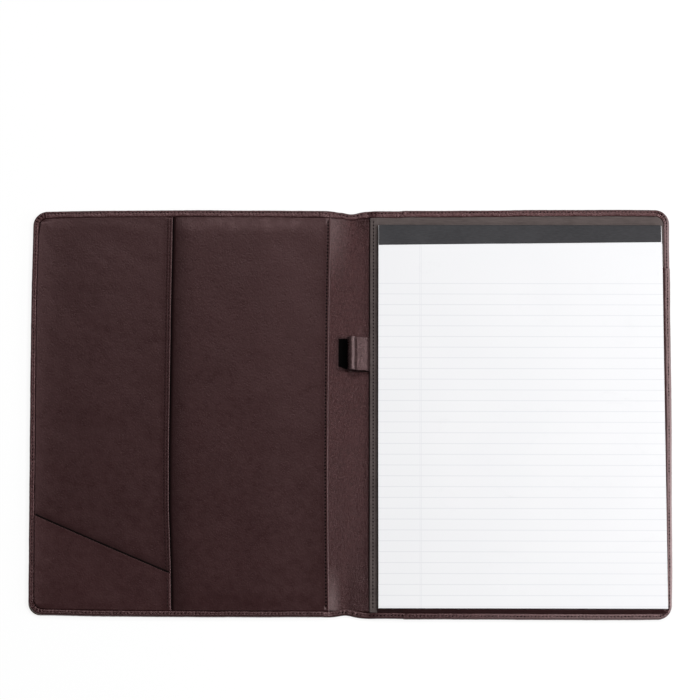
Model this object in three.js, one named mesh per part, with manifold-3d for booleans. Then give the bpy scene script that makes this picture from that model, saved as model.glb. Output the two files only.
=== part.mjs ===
// An open leather padfolio: two stiffened covers, a flexible spine, pockets, a pen loop and a top-bound writing pad.
// Millimetres. X runs across the open folder, from the front cover (-X) to the back cover (+X), Y towards the top of
// the sheets, Z up. The origin is the middle of the spine, half way up the folder, on the surface it lies on.
import * as THREE from "three";
import { mergeVertices } from "three/addons/utils/BufferGeometryUtils.js";
import Module from "manifold-3d";

const wasm = await Module();
wasm.setup();

// ---- driving dimensions ----
const HALF_WIDTH = 243; // open folder, from the middle of the spine to a fore-edge
const HALF_HEIGHT = 158.75; // half of a 12.5 in folder
const SPINE_HALF_HEIGHT = 156.8; // the spine's two ends are drawn in a little
const CORNER_R = 11;
const SPINE_SEGMENT = 10.6; // three strips between four fold lines
const FOLD_X = [-1.5, -0.5, 0.5, 1.5].map((k) => k * SPINE_SEGMENT);
const FOLD_GAP = 0.5; // from a fold line to the edge of what it joins

// Layers of a cover, from the table up.
const LEATHER_Z = [0, 1.1];
const BOARD_Z = [1.2, 2.1];
const PADDING_Z = [2.2, 2.6];
const LINING_Z = [2.7, 3.3];
const POCKET_SEAM_Z = [3.4, 3.8]; // a pocket's edge, caught under the turned edge
const TURN_IN_Z = [3.9, 4.6]; // turned edge of the outer leather
const EDGE_WALL = 1.2;
const TURN_IN_SIDE = 4.3; // width of the turned edge at fore-edge and foot
const TURN_IN_TOP = 5.4;
const BACK_RISE = 1.0; // the back lining is thicker inside its sewn edges
const FRONT_LINING_X = -16.6;
const BACK_LINING_X = 17.3;

// Spine.
const SPINE_LINING_Z = [1.2, 2.0];
const SPINE_TURN_IN = 4.9;

// Pockets of the front cover.
const DOC_EDGE_X = -136.2; // free edge of the document pocket
const DOC_Z = [3.4, 4.1]; // inside its sewn edges
const CARD_Z = [4.2, 4.8];
const CARD_MOUTH = [
  [-237.4, -81.9],
  [-136.4, -126.6],
]; // the slanted top edge
const CARD_RIGHT_X = -137.6;

// Writing pad: 8.5 x 11.75 in, bound at the top.
const PAD_X = [21.5, 237.4];
const PAD_Y = [-152.8, 145.6];
const BACKING_Z = [5.0, 5.7];
const SHEETS_Z = [6.5, 8.6];
const SHEETS_HEAD_Z = 5.8; // the block meets the backing board above the slot panel
const SHEETS_HEAD_Y = 114;
const TAPE_EDGE_Y = 131.0; // lower edge of the tape on the front
const TAPE_BACK_Y = 133.0;
const TAPE_Y1 = 145.9;
const TAPE_FRONT_Z = [8.7, 8.9];
const TAPE_BACK_Z = [4.7, 4.9];
const TOP_SHEET_Z = [8.7, 8.95];

// Panel that the backing board slides behind.
const SLOT_Z = [5.8, 6.4];
const SLOT_X0 = 40;
const SLOT_Y1 = 113;

// Pen loop: a strip folded into a teardrop.
const LOOP_X = [-2.0, 14.9];
const LOOP_Y = [31.2, 57.5];
const LOOP_Z0 = 2.1;
const LOOP_T = 0.8;
const LOOP_INNER_R = 3.9;

// ---- materials ----
const leather = () =>
  new THREE.MeshStandardMaterial({
    color: 0x3d2627,
    roughness: 0.55,
    metalness: 0,
  });
const lining = () =>
  new THREE.MeshStandardMaterial({
    color: 0x4f4542,
    roughness: 0.7,
    metalness: 0,
  });
const board = () =>
  new THREE.MeshStandardMaterial({
    color: 0x8f7b62,
    roughness: 0.9,
    metalness: 0,
  });
const foam = () =>
  new THREE.MeshStandardMaterial({
    color: 0x9a9a96,
    roughness: 1,
    metalness: 0,
  });
const paper = () =>
  new THREE.MeshStandardMaterial({
    color: 0xf4f4f5,
    roughness: 0.85,
    metalness: 0,
  });
const tape = () =>
  new THREE.MeshStandardMaterial({
    color: 0x424244,
    roughness: 0.6,
    metalness: 0,
  });

// ---- solids ----
function solidOf(geometry) {
  const g = geometry.clone();
  g.deleteAttribute("normal");
  g.deleteAttribute("uv");
  const m = mergeVertices(g, 1e-4);
  return new wasm.Manifold(
    new wasm.Mesh({
      numProp: 3,
      vertProperties: m.attributes.position.array,
      triVerts: new Uint32Array(m.index.array),
    }),
  );
}

function geometryOf(solid) {
  const m = solid.getMesh();
  const p = new Float32Array(m.numVert * 3);
  for (let i = 0; i < m.numVert; i++)
    p.set(m.vertProperties.subarray(i * m.numProp, i * m.numProp + 3), i * 3);
  const g = new THREE.BufferGeometry();
  g.setAttribute("position", new THREE.BufferAttribute(p, 3));
  g.setIndex(new THREE.BufferAttribute(new Uint32Array(m.triVerts), 1));
  g.computeVertexNormals();
  return g;
}

function box(x, y, z) {
  return new THREE.BoxGeometry(x[1] - x[0], y[1] - y[0], z[1] - z[0]).translate(
    (x[0] + x[1]) / 2,
    (y[0] + y[1]) / 2,
    (z[0] + z[1]) / 2,
  );
}

// A low pad with sloping sides: the rectangle `low` at z[0] narrows to the rectangle `high` at z[1].
function frustum(low, high, z) {
  const g = box([0, 1], [0, 1], [0, 1]);
  const p = g.attributes.position;
  for (let i = 0; i < p.count; i++) {
    const r = p.getZ(i) > 0.5 ? high : low;
    p.setXYZ(
      i,
      p.getX(i) > 0.5 ? r.x[1] : r.x[0],
      p.getY(i) > 0.5 ? r.y[1] : r.y[0],
      p.getZ(i) > 0.5 ? z[1] : z[0],
    );
  }
  return g;
}

const sorted = (a, b) => (a < b ? [a, b] : [b, a]);
const inset = (r, d) => ({
  x: [r.x[0] + d, r.x[1] - d],
  y: [r.y[0] + d, r.y[1] - d],
});

function prism(shape, z) {
  return new THREE.ExtrudeGeometry(shape, {
    depth: z[1] - z[0],
    bevelEnabled: false,
  }).translate(0, 0, z[0]);
}

// A bar along X with the outline `points`, each [y, z].
function bar(points, x) {
  const shape = new THREE.Shape();
  points.forEach(([y, z], i) =>
    i ? shape.lineTo(y, z) : shape.moveTo(y, z),
  );
  shape.closePath();
  return new THREE.ExtrudeGeometry(shape, {
    depth: x[1] - x[0],
    bevelEnabled: false,
  })
    .applyMatrix4(
      new THREE.Matrix4().set(0, 0, 1, 0, 1, 0, 0, 0, 0, 1, 0, 0, 0, 0, 0, 1),
    )
    .translate(x[0], 0, 0);
}

// Outline of a cover layer: square at the fold (innerX), with two round corners at the fore-edge (outerX).
function coverShape(innerX, outerX, y0, y1, r) {
  const s = Math.sign(outerX - innerX);
  const steps = 7;
  const shape = new THREE.Shape();
  shape.moveTo(innerX, y0);
  for (let i = 0; i <= steps; i++) {
    const a = ((i / steps) * Math.PI) / 2;
    shape.lineTo(
      outerX - s * r * (1 - Math.sin(a)),
      y0 + r * (1 - Math.cos(a)),
    );
  }
  for (let i = 0; i <= steps; i++) {
    const a = ((i / steps) * Math.PI) / 2;
    shape.lineTo(
      outerX - s * r * (1 - Math.cos(a)),
      y1 - r * (1 - Math.sin(a)),
    );
  }
  shape.lineTo(innerX, y1);
  shape.closePath();
  return shape;
}

// A layer of the cover on side s (-1 front, +1 back), held `margin` inside the outer edge.
function layer(s, innerX, margin, z) {
  return prism(
    coverShape(
      innerX,
      s * (HALF_WIDTH - margin),
      -HALF_HEIGHT + margin,
      HALF_HEIGHT - margin,
      CORNER_R - margin,
    ),
    z,
  );
}

// The opening inside a cover's turned edge, held `gap` clear of it.
function insideTurnIn(s, innerX, gap, z) {
  return solidOf(
    prism(
      coverShape(
        innerX,
        s * (HALF_WIDTH - TURN_IN_SIDE - gap),
        -HALF_HEIGHT + TURN_IN_SIDE + gap,
        HALF_HEIGHT - TURN_IN_TOP - gap,
        CORNER_R - TURN_IN_SIDE - gap,
      ),
      z,
    ),
  );
}

const root = new THREE.Group();
const frontCover = new THREE.Group();
const spine = new THREE.Group();
const backCover = new THREE.Group();
const pad = new THREE.Group();
root.add(frontCover, spine, backCover, pad);

function piece(group, name, geometry, material) {
  const mesh = new THREE.Mesh(geometry, material);
  mesh.name = name;
  group.add(mesh);
}

// ---- covers ----
// Outer leather of a cover. Its edge, turned up and in over the lining on three sides, is a piece of its own that
// stands on the flat part; it is open at the fold.
function coverLeather(s) {
  return layer(s, s * (FOLD_X[3] + FOLD_GAP), 0, LEATHER_Z);
}

function turnedEdge(s) {
  const inner = s * (FOLD_X[3] + FOLD_GAP);
  const past = inner - s * 6;
  const whole = solidOf(
    layer(s, inner, 0, [LEATHER_Z[1] + 0.1, TURN_IN_Z[1]]),
  );
  const cavity = solidOf(
    layer(s, past, EDGE_WALL, [LEATHER_Z[1] - 1, TURN_IN_Z[0]]),
  );
  const window = insideTurnIn(s, past, 0, [
    TURN_IN_Z[0] - 0.5,
    TURN_IN_Z[1] + 1,
  ]);
  return geometryOf(whole.subtract(cavity).subtract(window));
}

// Lining of the back cover: thin where it is sewn in, thicker inside.
function thickLining(s, innerX, rise) {
  const low = {
    x: sorted(s * (HALF_WIDTH - 8.5), innerX + s * 2.2),
    y: [-HALF_HEIGHT + 8.3, HALF_HEIGHT - 9.8],
  };
  const seam = solidOf(layer(s, innerX, 1.7, LINING_Z));
  const middle = solidOf(
    frustum(low, inset(low, 3.5), [LINING_Z[1], LINING_Z[1] + rise]),
  );
  return geometryOf(seam.add(middle));
}

piece(frontCover, "front_cover_leather", coverLeather(-1), leather());
piece(frontCover, "front_turned_edge", turnedEdge(-1), leather());
piece(
  frontCover,
  "front_stiffener_board",
  layer(-1, -17, 1.7, BOARD_Z),
  board(),
);
piece(frontCover, "front_padding", layer(-1, -18, 2.5, PADDING_Z), foam());
piece(
  frontCover,
  "front_lining",
  layer(-1, FRONT_LINING_X, 1.7, LINING_Z),
  leather(),
);

piece(backCover, "back_cover_leather", coverLeather(1), leather());
piece(backCover, "back_turned_edge", turnedEdge(1), leather());
piece(backCover, "back_stiffener_board", layer(1, 17, 1.7, BOARD_Z), board());
piece(backCover, "back_padding", layer(1, 18.5, 2.5, PADDING_Z), foam());
piece(
  backCover,
  "back_lining",
  thickLining(1, BACK_LINING_X, BACK_RISE),
  lining(),
);

// Document pocket: caught under the turned edge at the fore-edge, head and foot, free at its right edge.
{
  const seam = solidOf(layer(-1, DOC_EDGE_X, 1.8, POCKET_SEAM_Z));
  const panel = insideTurnIn(-1, DOC_EDGE_X, 0.3, DOC_Z);
  piece(
    frontCover,
    "document_pocket",
    geometryOf(seam.add(panel)),
    leather(),
  );
}

// Card pocket: a flat panel on the document pocket, with a slanted mouth.
{
  const [[xa, ya], [xb, yb]] = CARD_MOUTH;
  const slope = (yb - ya) / (xb - xa);
  const at = (x) => ya + slope * (x - xa);
  const cut = new THREE.Shape();
  cut.moveTo(-260, at(-260));
  cut.lineTo(CARD_RIGHT_X, at(CARD_RIGHT_X));
  cut.lineTo(CARD_RIGHT_X, -200);
  cut.lineTo(-260, -200);
  cut.closePath();
  const inside = insideTurnIn(-1, CARD_RIGHT_X + 10, 0.3, CARD_Z);
  piece(
    frontCover,
    "card_pocket",
    geometryOf(solidOf(prism(cut, [CARD_Z[0] - 1, CARD_Z[1] + 1])).intersect(inside)),
    leather(),
  );
}

// ---- spine: three strips, each outer leather with its ends turned in, and lining ----
["front", "middle", "back"].forEach((name, i) => {
  const x = [FOLD_X[i] + FOLD_GAP, FOLD_X[i + 1] - FOLD_GAP];
  const end = SPINE_HALF_HEIGHT - SPINE_TURN_IN;
  const strip = solidOf(
    box(x, [-SPINE_HALF_HEIGHT, SPINE_HALF_HEIGHT], LEATHER_Z),
  )
    .add(solidOf(box(x, [end, SPINE_HALF_HEIGHT], [0, SPINE_LINING_Z[1]])))
    .add(solidOf(box(x, [-SPINE_HALF_HEIGHT, -end], [0, SPINE_LINING_Z[1]])));
  piece(spine, "spine_leather_" + name, geometryOf(strip), leather());
  piece(
    spine,
    "spine_lining_" + name,
    box(x, [-end + 0.3, end - 0.3], SPINE_LINING_Z),
    leather(),
  );
});

// ---- pen loop: a strip of leather folded back on itself, pinched at its root and open where the pen goes ----
{
  const r = LOOP_INNER_R;
  const cx = LOOP_X[0] + LOOP_T + r;
  const zi = LOOP_Z0 + LOOP_T;
  const cz = zi + r;
  const pinch = zi + LOOP_T;
  const shape = new THREE.Shape();
  shape.moveTo(LOOP_X[1], LOOP_Z0);
  shape.lineTo(LOOP_X[1], pinch);
  shape.lineTo(cx + 9.1, pinch);
  shape.bezierCurveTo(
    cx + 6.1,
    pinch,
    cx + 4.9,
    cz + r + LOOP_T,
    cx + 1.7,
    cz + r + LOOP_T,
  );
  shape.lineTo(cx, cz + r + LOOP_T);
  shape.absarc(
    cx,
    cz,
    r + LOOP_T,
    Math.PI / 2,
    (Math.PI * 3) / 2,
    false,
  );
  shape.closePath();
  const hole = new THREE.Path();
  hole.moveTo(cx + 8.1, zi);
  hole.lineTo(cx, zi);
  hole.absarc(cx, cz, r, (Math.PI * 3) / 2, Math.PI / 2, true);
  hole.lineTo(cx + 1.7, cz + r);
  hole.bezierCurveTo(cx + 4.3, cz + r, cx + 5.5, zi + 0.05, cx + 8.1, zi);
  shape.holes.push(hole);
  const loop = new THREE.ExtrudeGeometry(shape, {
    depth: LOOP_Y[1] - LOOP_Y[0],
    bevelEnabled: false,
    curveSegments: 9,
  })
    .rotateX(Math.PI / 2)
    .translate(0, LOOP_Y[1], 0);
  piece(spine, "pen_loop", geometryOf(solidOf(loop)), leather());
}

// ---- slot panel: sewn under the turned edge at the fore-edge and foot, free at the top and left ----
{
  const right = HALF_WIDTH - TURN_IN_SIDE - 0.3;
  const foot = -HALF_HEIGHT + TURN_IN_SIDE + 0.3;
  const wall = 0.6;
  const seamZ = POCKET_SEAM_Z;
  const raised = solidOf(box([SLOT_X0, right], [foot, SLOT_Y1], SLOT_Z))
    .add(
      solidOf(
        box([right - wall, right], [foot, SLOT_Y1], [seamZ[0], SLOT_Z[1]]),
      ),
    )
    .add(
      solidOf(
        box([SLOT_X0, right], [foot, foot + wall], [seamZ[0], SLOT_Z[1]]),
      ),
    )
    .intersect(insideTurnIn(1, 10, 0.3, [0, 10]));
  const seam = solidOf(box([right - wall, 250], [-170, SLOT_Y1], seamZ))
    .add(solidOf(box([SLOT_X0, 250], [-170, foot + wall], seamZ)))
    .intersect(solidOf(layer(1, SLOT_X0, 1.8, [0, 10])));
  piece(
    backCover,
    "pad_slot_panel",
    geometryOf(raised.add(seam)),
    leather(),
  );
}

// ---- writing pad ----
piece(pad, "pad_backing_board", box(PAD_X, PAD_Y, BACKING_Z), board());
piece(
  pad,
  "pad_sheets",
  bar(
    [
      [PAD_Y[0], SHEETS_Z[0]],
      [SHEETS_HEAD_Y, SHEETS_Z[0]],
      [SHEETS_HEAD_Y, SHEETS_HEAD_Z],
      [PAD_Y[1], SHEETS_HEAD_Z],
      [PAD_Y[1], SHEETS_Z[1]],
      [PAD_Y[0], SHEETS_Z[1]],
    ],
    PAD_X,
  ),
  paper(),
);
piece(
  pad,
  "top_sheet",
  box(PAD_X, [PAD_Y[0], TAPE_EDGE_Y - 0.2], TOP_SHEET_Z),
  paper(),
);
piece(
  pad,
  "pad_binding_tape",
  bar(
    [
      [TAPE_BACK_Y, TAPE_BACK_Z[0]],
      [TAPE_Y1, TAPE_BACK_Z[0]],
      [TAPE_Y1, TAPE_FRONT_Z[1]],
      [TAPE_EDGE_Y, TAPE_FRONT_Z[1]],
      [TAPE_EDGE_Y, TAPE_FRONT_Z[0]],
      [PAD_Y[1] + 0.1, TAPE_FRONT_Z[0]],
      [PAD_Y[1] + 0.1, TAPE_BACK_Z[1]],
      [TAPE_BACK_Y, TAPE_BACK_Z[1]],
    ],
    PAD_X,
  ),
  tape(),
);

export default root;
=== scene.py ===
import bpy
import math
import numpy as np
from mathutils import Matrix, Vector, noise


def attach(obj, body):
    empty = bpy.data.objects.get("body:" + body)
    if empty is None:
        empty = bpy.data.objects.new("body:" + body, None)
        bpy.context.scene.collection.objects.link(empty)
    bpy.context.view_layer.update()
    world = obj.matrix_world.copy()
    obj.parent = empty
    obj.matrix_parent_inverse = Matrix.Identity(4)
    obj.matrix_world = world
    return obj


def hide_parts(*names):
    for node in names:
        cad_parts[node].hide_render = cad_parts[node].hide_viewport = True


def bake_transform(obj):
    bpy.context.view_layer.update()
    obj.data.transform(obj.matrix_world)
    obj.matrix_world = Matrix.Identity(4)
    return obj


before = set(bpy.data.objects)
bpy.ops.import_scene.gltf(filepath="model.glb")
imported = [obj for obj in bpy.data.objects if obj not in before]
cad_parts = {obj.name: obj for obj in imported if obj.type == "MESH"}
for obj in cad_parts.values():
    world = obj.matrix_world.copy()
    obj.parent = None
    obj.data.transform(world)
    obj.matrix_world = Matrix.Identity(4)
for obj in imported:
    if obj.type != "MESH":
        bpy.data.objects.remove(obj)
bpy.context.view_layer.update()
MM = 0.001

# ---- driving dimensions, in millimetres ----
HALF_W, HALF_H, CORNER = 243.0, 158.75, 11.0
CUT = 10.6  # where one piece of spine leather meets the next
TURN_TOP, TURN_SIDE = 5.4, 4.3
EDGE_H, SPINE_H = 4.6, 2.9  # height of the turned edge on the covers and on the spine
SKIN = 0.75
STITCH = 2.7


# ---- small helpers ----
def smooth(a, b, t):
    t = np.clip((np.asarray(t, float) - a) / (b - a), 0, 1)
    return t * t * (3 - 2 * t)


def mix(a, b, t):
    return a + (b - a) * t


def inset(x, y):
    """Distance from the folder's outline, inwards."""
    qx, qy = np.abs(x) - (HALF_W - CORNER), np.abs(y) - (HALF_H - CORNER)
    return CORNER - np.hypot(np.maximum(qx, 0), np.maximum(qy, 0)) - np.minimum(np.maximum(qx, qy), 0)


def wobble(x, y, size, seed=0.0):
    """Smooth noise of about -1 to 1, with features of about `size` (a number or one for x and one for y)."""
    sx, sy = (size, size) if np.isscalar(size) else size
    x, y = np.broadcast_arrays(np.asarray(x, float), np.asarray(y, float))
    out = np.empty(x.size)
    for i, (a, b) in enumerate(zip(x.ravel() / sx, y.ravel() / sy)):
        out[i] = noise.noise((a, b, seed))
    return out.reshape(x.shape) * 1.6


def spaced(a, b, pitch):
    return np.linspace(a, b, max(2, int(round(abs(b - a) / pitch)) + 1))


def joined(*parts):
    out = [np.asarray(parts[0], float)]
    for p in parts[1:]:
        out.append(np.asarray(p, float)[1:])
    return np.concatenate(out)


# how far the covers' outline is drawn in (or out, below zero) along each side
def side_table(points):
    points = np.array(points, float)
    at = np.arange(-262, 263.0)
    line = np.interp(at, points[:, 0], points[:, 1])
    k = np.exp(-((np.arange(-18, 19) / 7.0) ** 2))
    return at, np.convolve(np.pad(line, 18, mode="edge"), k / k.sum(), mode="valid")


HEAD_IN = side_table([(-243, 1.75), (-226, 1.4), (-212, 0.96), (-200, 0.7), (-167, 0.45), (-144, 0.29), (-121, 0.1), (-76, 0.1), (-53, 0.34), (-27, 0.5), (27, 0.6), (61, 0.55), (83, 0.3), (106, -0.15), (129, -0.4), (152, -0.67), (175, -0.8), (224, -0.65), (243, -0.4)])
FOOT_IN = side_table([(-243, 1.8), (-226, 1.58), (-205, 1.05), (-190, 0.95), (-167, 0.62), (-121, 0.4), (-53, 0.3), (-8, 0.5), (4, 0.2), (14, -0.6), (61, -0.6), (106, -0.95), (152, -1.2), (175, -1.3), (224, -1.05), (243, -0.9)])
LEFT_IN = side_table([(-158, 1.75), (-141, 1.65), (-122, 1.3), (-98, 0.95), (-75, 0.8), (-28, 0.4), (0, 0.0), (42, -0.4), (65, -0.7), (89, -0.75), (120, -0.5), (139, -0.2), (158, -0.2)])
RIGHT_IN = side_table([(-158, 0.9), (-141, 0.7), (-122, 0.0), (-98, -0.1), (-75, -0.2), (-51, -0.45), (-28, -0.8), (0, -1.0), (42, -1.2), (65, -1.05), (104, -0.95), (139, -1.15), (158, -1.2)])


def uneven(v):
    """The sewn covers aren't quite rectangular: move points in the plane, most at the edges."""
    v = np.array(v, float)
    x, y = v[:, 0].copy(), v[:, 1].copy()
    v[:, 1] += -np.interp(x, *HEAD_IN) * smooth(60, 150, y) + np.interp(x, *FOOT_IN) * smooth(-90, -152, y)
    v[:, 0] += np.interp(y, *LEFT_IN) * smooth(-170, -236, x) - np.interp(y, *RIGHT_IN) * smooth(190, 236, x)
    return v


def mesh_piece(name, verts, faces, material, angle=40, smooth_faces=True, drawn=True):
    me = bpy.data.meshes.new(name)
    if drawn:
        verts = uneven(verts)
    verts = np.asarray(verts, float)
    faces = [list(map(int, f)) for f in faces]
    # every piece is a closed skin, turned so that its faces look outward
    t = np.array([(f[0], f[k], f[k + 1]) for f in faces for k in range(1, len(f) - 1)])
    if np.einsum("ij,ij->", verts[t[:, 0]], np.cross(verts[t[:, 1]], verts[t[:, 2]])) < 0:
        faces = [f[::-1] for f in faces]
    me.from_pydata((verts * MM).tolist(), [], faces)
    me.polygons.foreach_set("use_smooth", [smooth_faces] * len(me.polygons))
    me.materials.append(material)
    me.update()
    if smooth_faces:
        me.set_sharp_from_angle(angle=math.radians(angle))
    ob = bpy.data.objects.new(name, me)
    bpy.context.scene.collection.objects.link(ob)
    return ob


def thick(outer, inner, faces):
    """One closed skin: outer and inner sheets of the same layout, joined round every open edge."""
    n = len(outer)
    out = [tuple(f) for f in faces]
    out += [tuple(i + n for i in reversed(f)) for f in faces]
    edges = set()
    for f in faces:
        for a, b in zip(f, tuple(f[1:]) + (f[0],)):
            edges.add((a, b))
    for a, b in edges:
        if (b, a) not in edges:
            out.append((b, a, a + n, b + n))
    return np.vstack([outer, inner]), out


def grid_faces(rows, cols, flip=False):
    f = []
    for i in range(rows - 1):
        for j in range(cols - 1):
            a, b, c, d = i * cols + j, i * cols + j + 1, (i + 1) * cols + j + 1, (i + 1) * cols + j
            f.append((a, d, c, b) if flip else (a, b, c, d))
    return f


# ---- materials ----
class Nodes:
    def __init__(self, name):
        self.mat = bpy.data.materials.new(name)
        self.mat.use_nodes = True
        self.t = self.mat.node_tree
        self.bsdf = self.t.nodes["Principled BSDF"]
        self.coord = self.t.nodes.new("ShaderNodeTexCoord").outputs["Object"]

    def node(self, kind, **values):
        n = self.t.nodes.new(kind)
        for k, v in values.items():
            if hasattr(n, k):
                setattr(n, k, v)
            else:
                self.put(n.inputs[k.replace("_", " ")], v)
        return n

    def put(self, socket, v):
        if isinstance(v, bpy.types.NodeSocket):
            self.t.links.new(v, socket)
        else:
            socket.default_value = v

    def mapped(self, scale, rotation=(0, 0, 0)):
        n = self.t.nodes.new("ShaderNodeMapping")
        n.inputs["Scale"].default_value = scale
        n.inputs["Rotation"].default_value = rotation
        self.put(n.inputs["Vector"], self.coord)
        return n.outputs["Vector"]

    def noise(self, scale, detail=2.0, rough=0.5, vector=None, distortion=0.0):
        n = self.t.nodes.new("ShaderNodeTexNoise")
        n.inputs["Scale"].default_value = scale
        n.inputs["Detail"].default_value = detail
        n.inputs["Roughness"].default_value = rough
        n.inputs["Distortion"].default_value = distortion
        self.put(n.inputs["Vector"], vector or self.coord)
        return n.outputs["Fac"]

    def cells(self, scale, feature="F1", vector=None, random=1.0):
        n = self.t.nodes.new("ShaderNodeTexVoronoi")
        n.feature = feature
        n.inputs["Scale"].default_value = scale
        n.inputs["Randomness"].default_value = random
        self.put(n.inputs["Vector"], vector or self.coord)
        return n.outputs["Distance"]

    def wave(self, scale, axis="X", distortion=0.0, detail=1.0, vector=None):
        n = self.t.nodes.new("ShaderNodeTexWave")
        n.bands_direction = axis
        n.inputs["Scale"].default_value = scale
        n.inputs["Distortion"].default_value = distortion
        n.inputs["Detail"].default_value = detail
        self.put(n.inputs["Vector"], vector or self.coord)
        return n.outputs["Fac"]

    def math(self, op, a, b=0.0, clamp=False):
        n = self.t.nodes.new("ShaderNodeMath")
        n.operation = op
        n.use_clamp = clamp
        self.put(n.inputs[0], a)
        self.put(n.inputs[1], b)
        return n.outputs[0]

    def range(self, v, a, b, c, d, smooth_step=False):
        n = self.t.nodes.new("ShaderNodeMapRange")
        if smooth_step:
            n.interpolation_type = "SMOOTHSTEP"
        for k, x in (("Value", v), ("From Min", a), ("From Max", b), ("To Min", c), ("To Max", d)):
            self.put(n.inputs[k], x)
        return n.outputs["Result"]

    def blend(self, fac, a, b, mode="MIX"):
        n = self.t.nodes.new("ShaderNodeMix")
        n.data_type = "RGBA"
        n.blend_type = mode
        self.put(n.inputs["Factor"], fac)
        self.put(n.inputs[6], a if isinstance(a, bpy.types.NodeSocket) else (*a, 1.0))
        self.put(n.inputs[7], b if isinstance(b, bpy.types.NodeSocket) else (*b, 1.0))
        return n.outputs[2]

    def bump(self, height, strength, distance, normal=None):
        n = self.t.nodes.new("ShaderNodeBump")
        n.inputs["Strength"].default_value = strength
        n.inputs["Distance"].default_value = distance
        self.put(n.inputs["Height"], height)
        if normal is not None:
            self.put(n.inputs["Normal"], normal)
        return n.outputs["Normal"]

    def split(self):
        n = self.t.nodes.new("ShaderNodeSeparateXYZ")
        self.put(n.inputs[0], self.coord)
        return n.outputs[0], n.outputs[1], n.outputs[2]

    def finish(self, color, rough, normal=None, specular=0.5, sheen=0.0, metallic=0.0, tint=None):
        self.put(self.bsdf.inputs["Base Color"], color if isinstance(color, bpy.types.NodeSocket) else (*color, 1.0))
        self.put(self.bsdf.inputs["Roughness"], rough)
        self.bsdf.inputs["Specular IOR Level"].default_value = specular
        self.bsdf.inputs["Metallic"].default_value = metallic
        if tint:
            self.bsdf.inputs["Specular Tint"].default_value = (*tint, 1.0)
        if sheen:
            self.bsdf.inputs["Sheen Weight"].default_value = sheen
            self.bsdf.inputs["Sheen Roughness"].default_value = 0.5
        if normal is not None:
            self.put(self.bsdf.inputs["Normal"], normal)
        return self.mat


def scaled(c, k):
    return tuple(x * k for x in c)


def leather(name, base, grain, pebble, crease, mottle, rough, specular, wear=None, crease_scale=(900, 260, 900), speckle=0.5, painted_shade=None, painted_highlight=None):
    """Grained leather: fine pores, pebbles between shallow creases, slow changes of colour, and smoother high spots."""
    n = Nodes(name)
    slow = n.noise(26, 3, 0.55)
    mid = n.noise(150, 4, 0.6)
    fine = n.noise(1500, 3, 0.65)
    cell = n.cells(820, "SMOOTH_F1")
    pores = n.cells(2100, "F1")
    wrinkle = n.noise(1.0, 4, 0.62, n.mapped(crease_scale), 0.6)
    tone = n.math("ADD", n.math("MULTIPLY", slow, 0.55), n.math("MULTIPLY", mid, 0.45))
    c = n.blend(n.range(tone, 0.36, 0.64, 0, 1), scaled(base, 1 - mottle), scaled(base, 1 + mottle))
    # small light and dark specks, and the shallow lines between pebbles
    speck = n.noise(760, 2, 0.6)
    c = n.blend(n.math("MULTIPLY", n.range(speck, 0.50, 0.68, 0, 1), speckle), c, scaled(base, 1.75))
    c = n.blend(n.math("MULTIPLY", n.range(speck, 0.46, 0.32, 0, 1), speckle), c, scaled(base, 0.5))
    c = n.blend(n.math("MULTIPLY", n.range(cell, 0.35, 0.6, 0, 1), 0.35 * pebble), c, scaled(base, 0.55))
    dark = n.range(wrinkle, 0.3, 0.46, 1, 0)
    c = n.blend(n.math("MULTIPLY", dark, 0.5 * min(1.0, crease)), c, scaled(base, 0.55))
    if wear:
        high = n.range(wrinkle, 0.56, 0.72, 0, 1)
        c = n.blend(n.math("MULTIPLY", high, wear[0]), c, wear[1])
    r = n.math("ADD", n.range(mid, 0.35, 0.65, rough - 0.05, rough + 0.05), n.range(fine, 0.3, 0.7, 0.03, -0.03))
    nm = n.bump(fine, 0.5 * grain, 0.00012)
    nm = n.bump(pores, 0.35 * grain, 0.00010, nm)
    nm = n.bump(cell, 0.6 * pebble, 0.00030, nm)
    nm = n.bump(wrinkle, 0.9 * crease, 0.00070, nm)
    nm = n.bump(speck, 0.9 * speckle, 0.00025, nm)
    nm = n.bump(mid, 0.35 if crease > 0.2 else 0.12, 0.0006, nm)
    # painted shade: where the mask says, the colour is blended towards a darker copy of the leather
    if painted_shade:
        c = n.blend(painted_shade(n), c, scaled(base, 0.42))
    # painted highlight: where the mask says, the colour is blended towards a pale pink
    if painted_highlight:
        c = n.blend(painted_highlight(n), c, (0.42, 0.33, 0.33))
    return n.finish(c, r, nm, specular, tint=TINT)


def painted_shade_by_pocket(n):
    """Painted shade: the lining is painted darker close beside the document pocket's free edge, fading out over about
    22 mm.
    """
    x, y, z = n.split()
    edge = n.range(y, -0.160, -0.075, -0.1337, -0.1368)
    d = n.math("SUBTRACT", x, edge)
    far = n.range(d, 0.0, 0.022, 1, 0)
    return n.math("MULTIPLY", n.math("MULTIPLY", far, far), 0.85)


def painted_shade_by_mouth(n):
    """Painted shade on the document pocket, just above the card pocket's mouth."""
    x, y, z = n.split()
    line = n.math("ADD", n.math("MULTIPLY", x, -0.4327), -0.1843)
    far = n.range(n.math("SUBTRACT", y, line), 0.0, 0.0095, 1, 0)
    on = n.math("GREATER_THAN", far, 0.0)
    low = n.math("LESS_THAN", y, -0.066)
    return n.math("MULTIPLY", n.math("MULTIPLY", n.math("MULTIPLY", far, far), 0.7), n.math("MULTIPLY", on, low))


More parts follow.
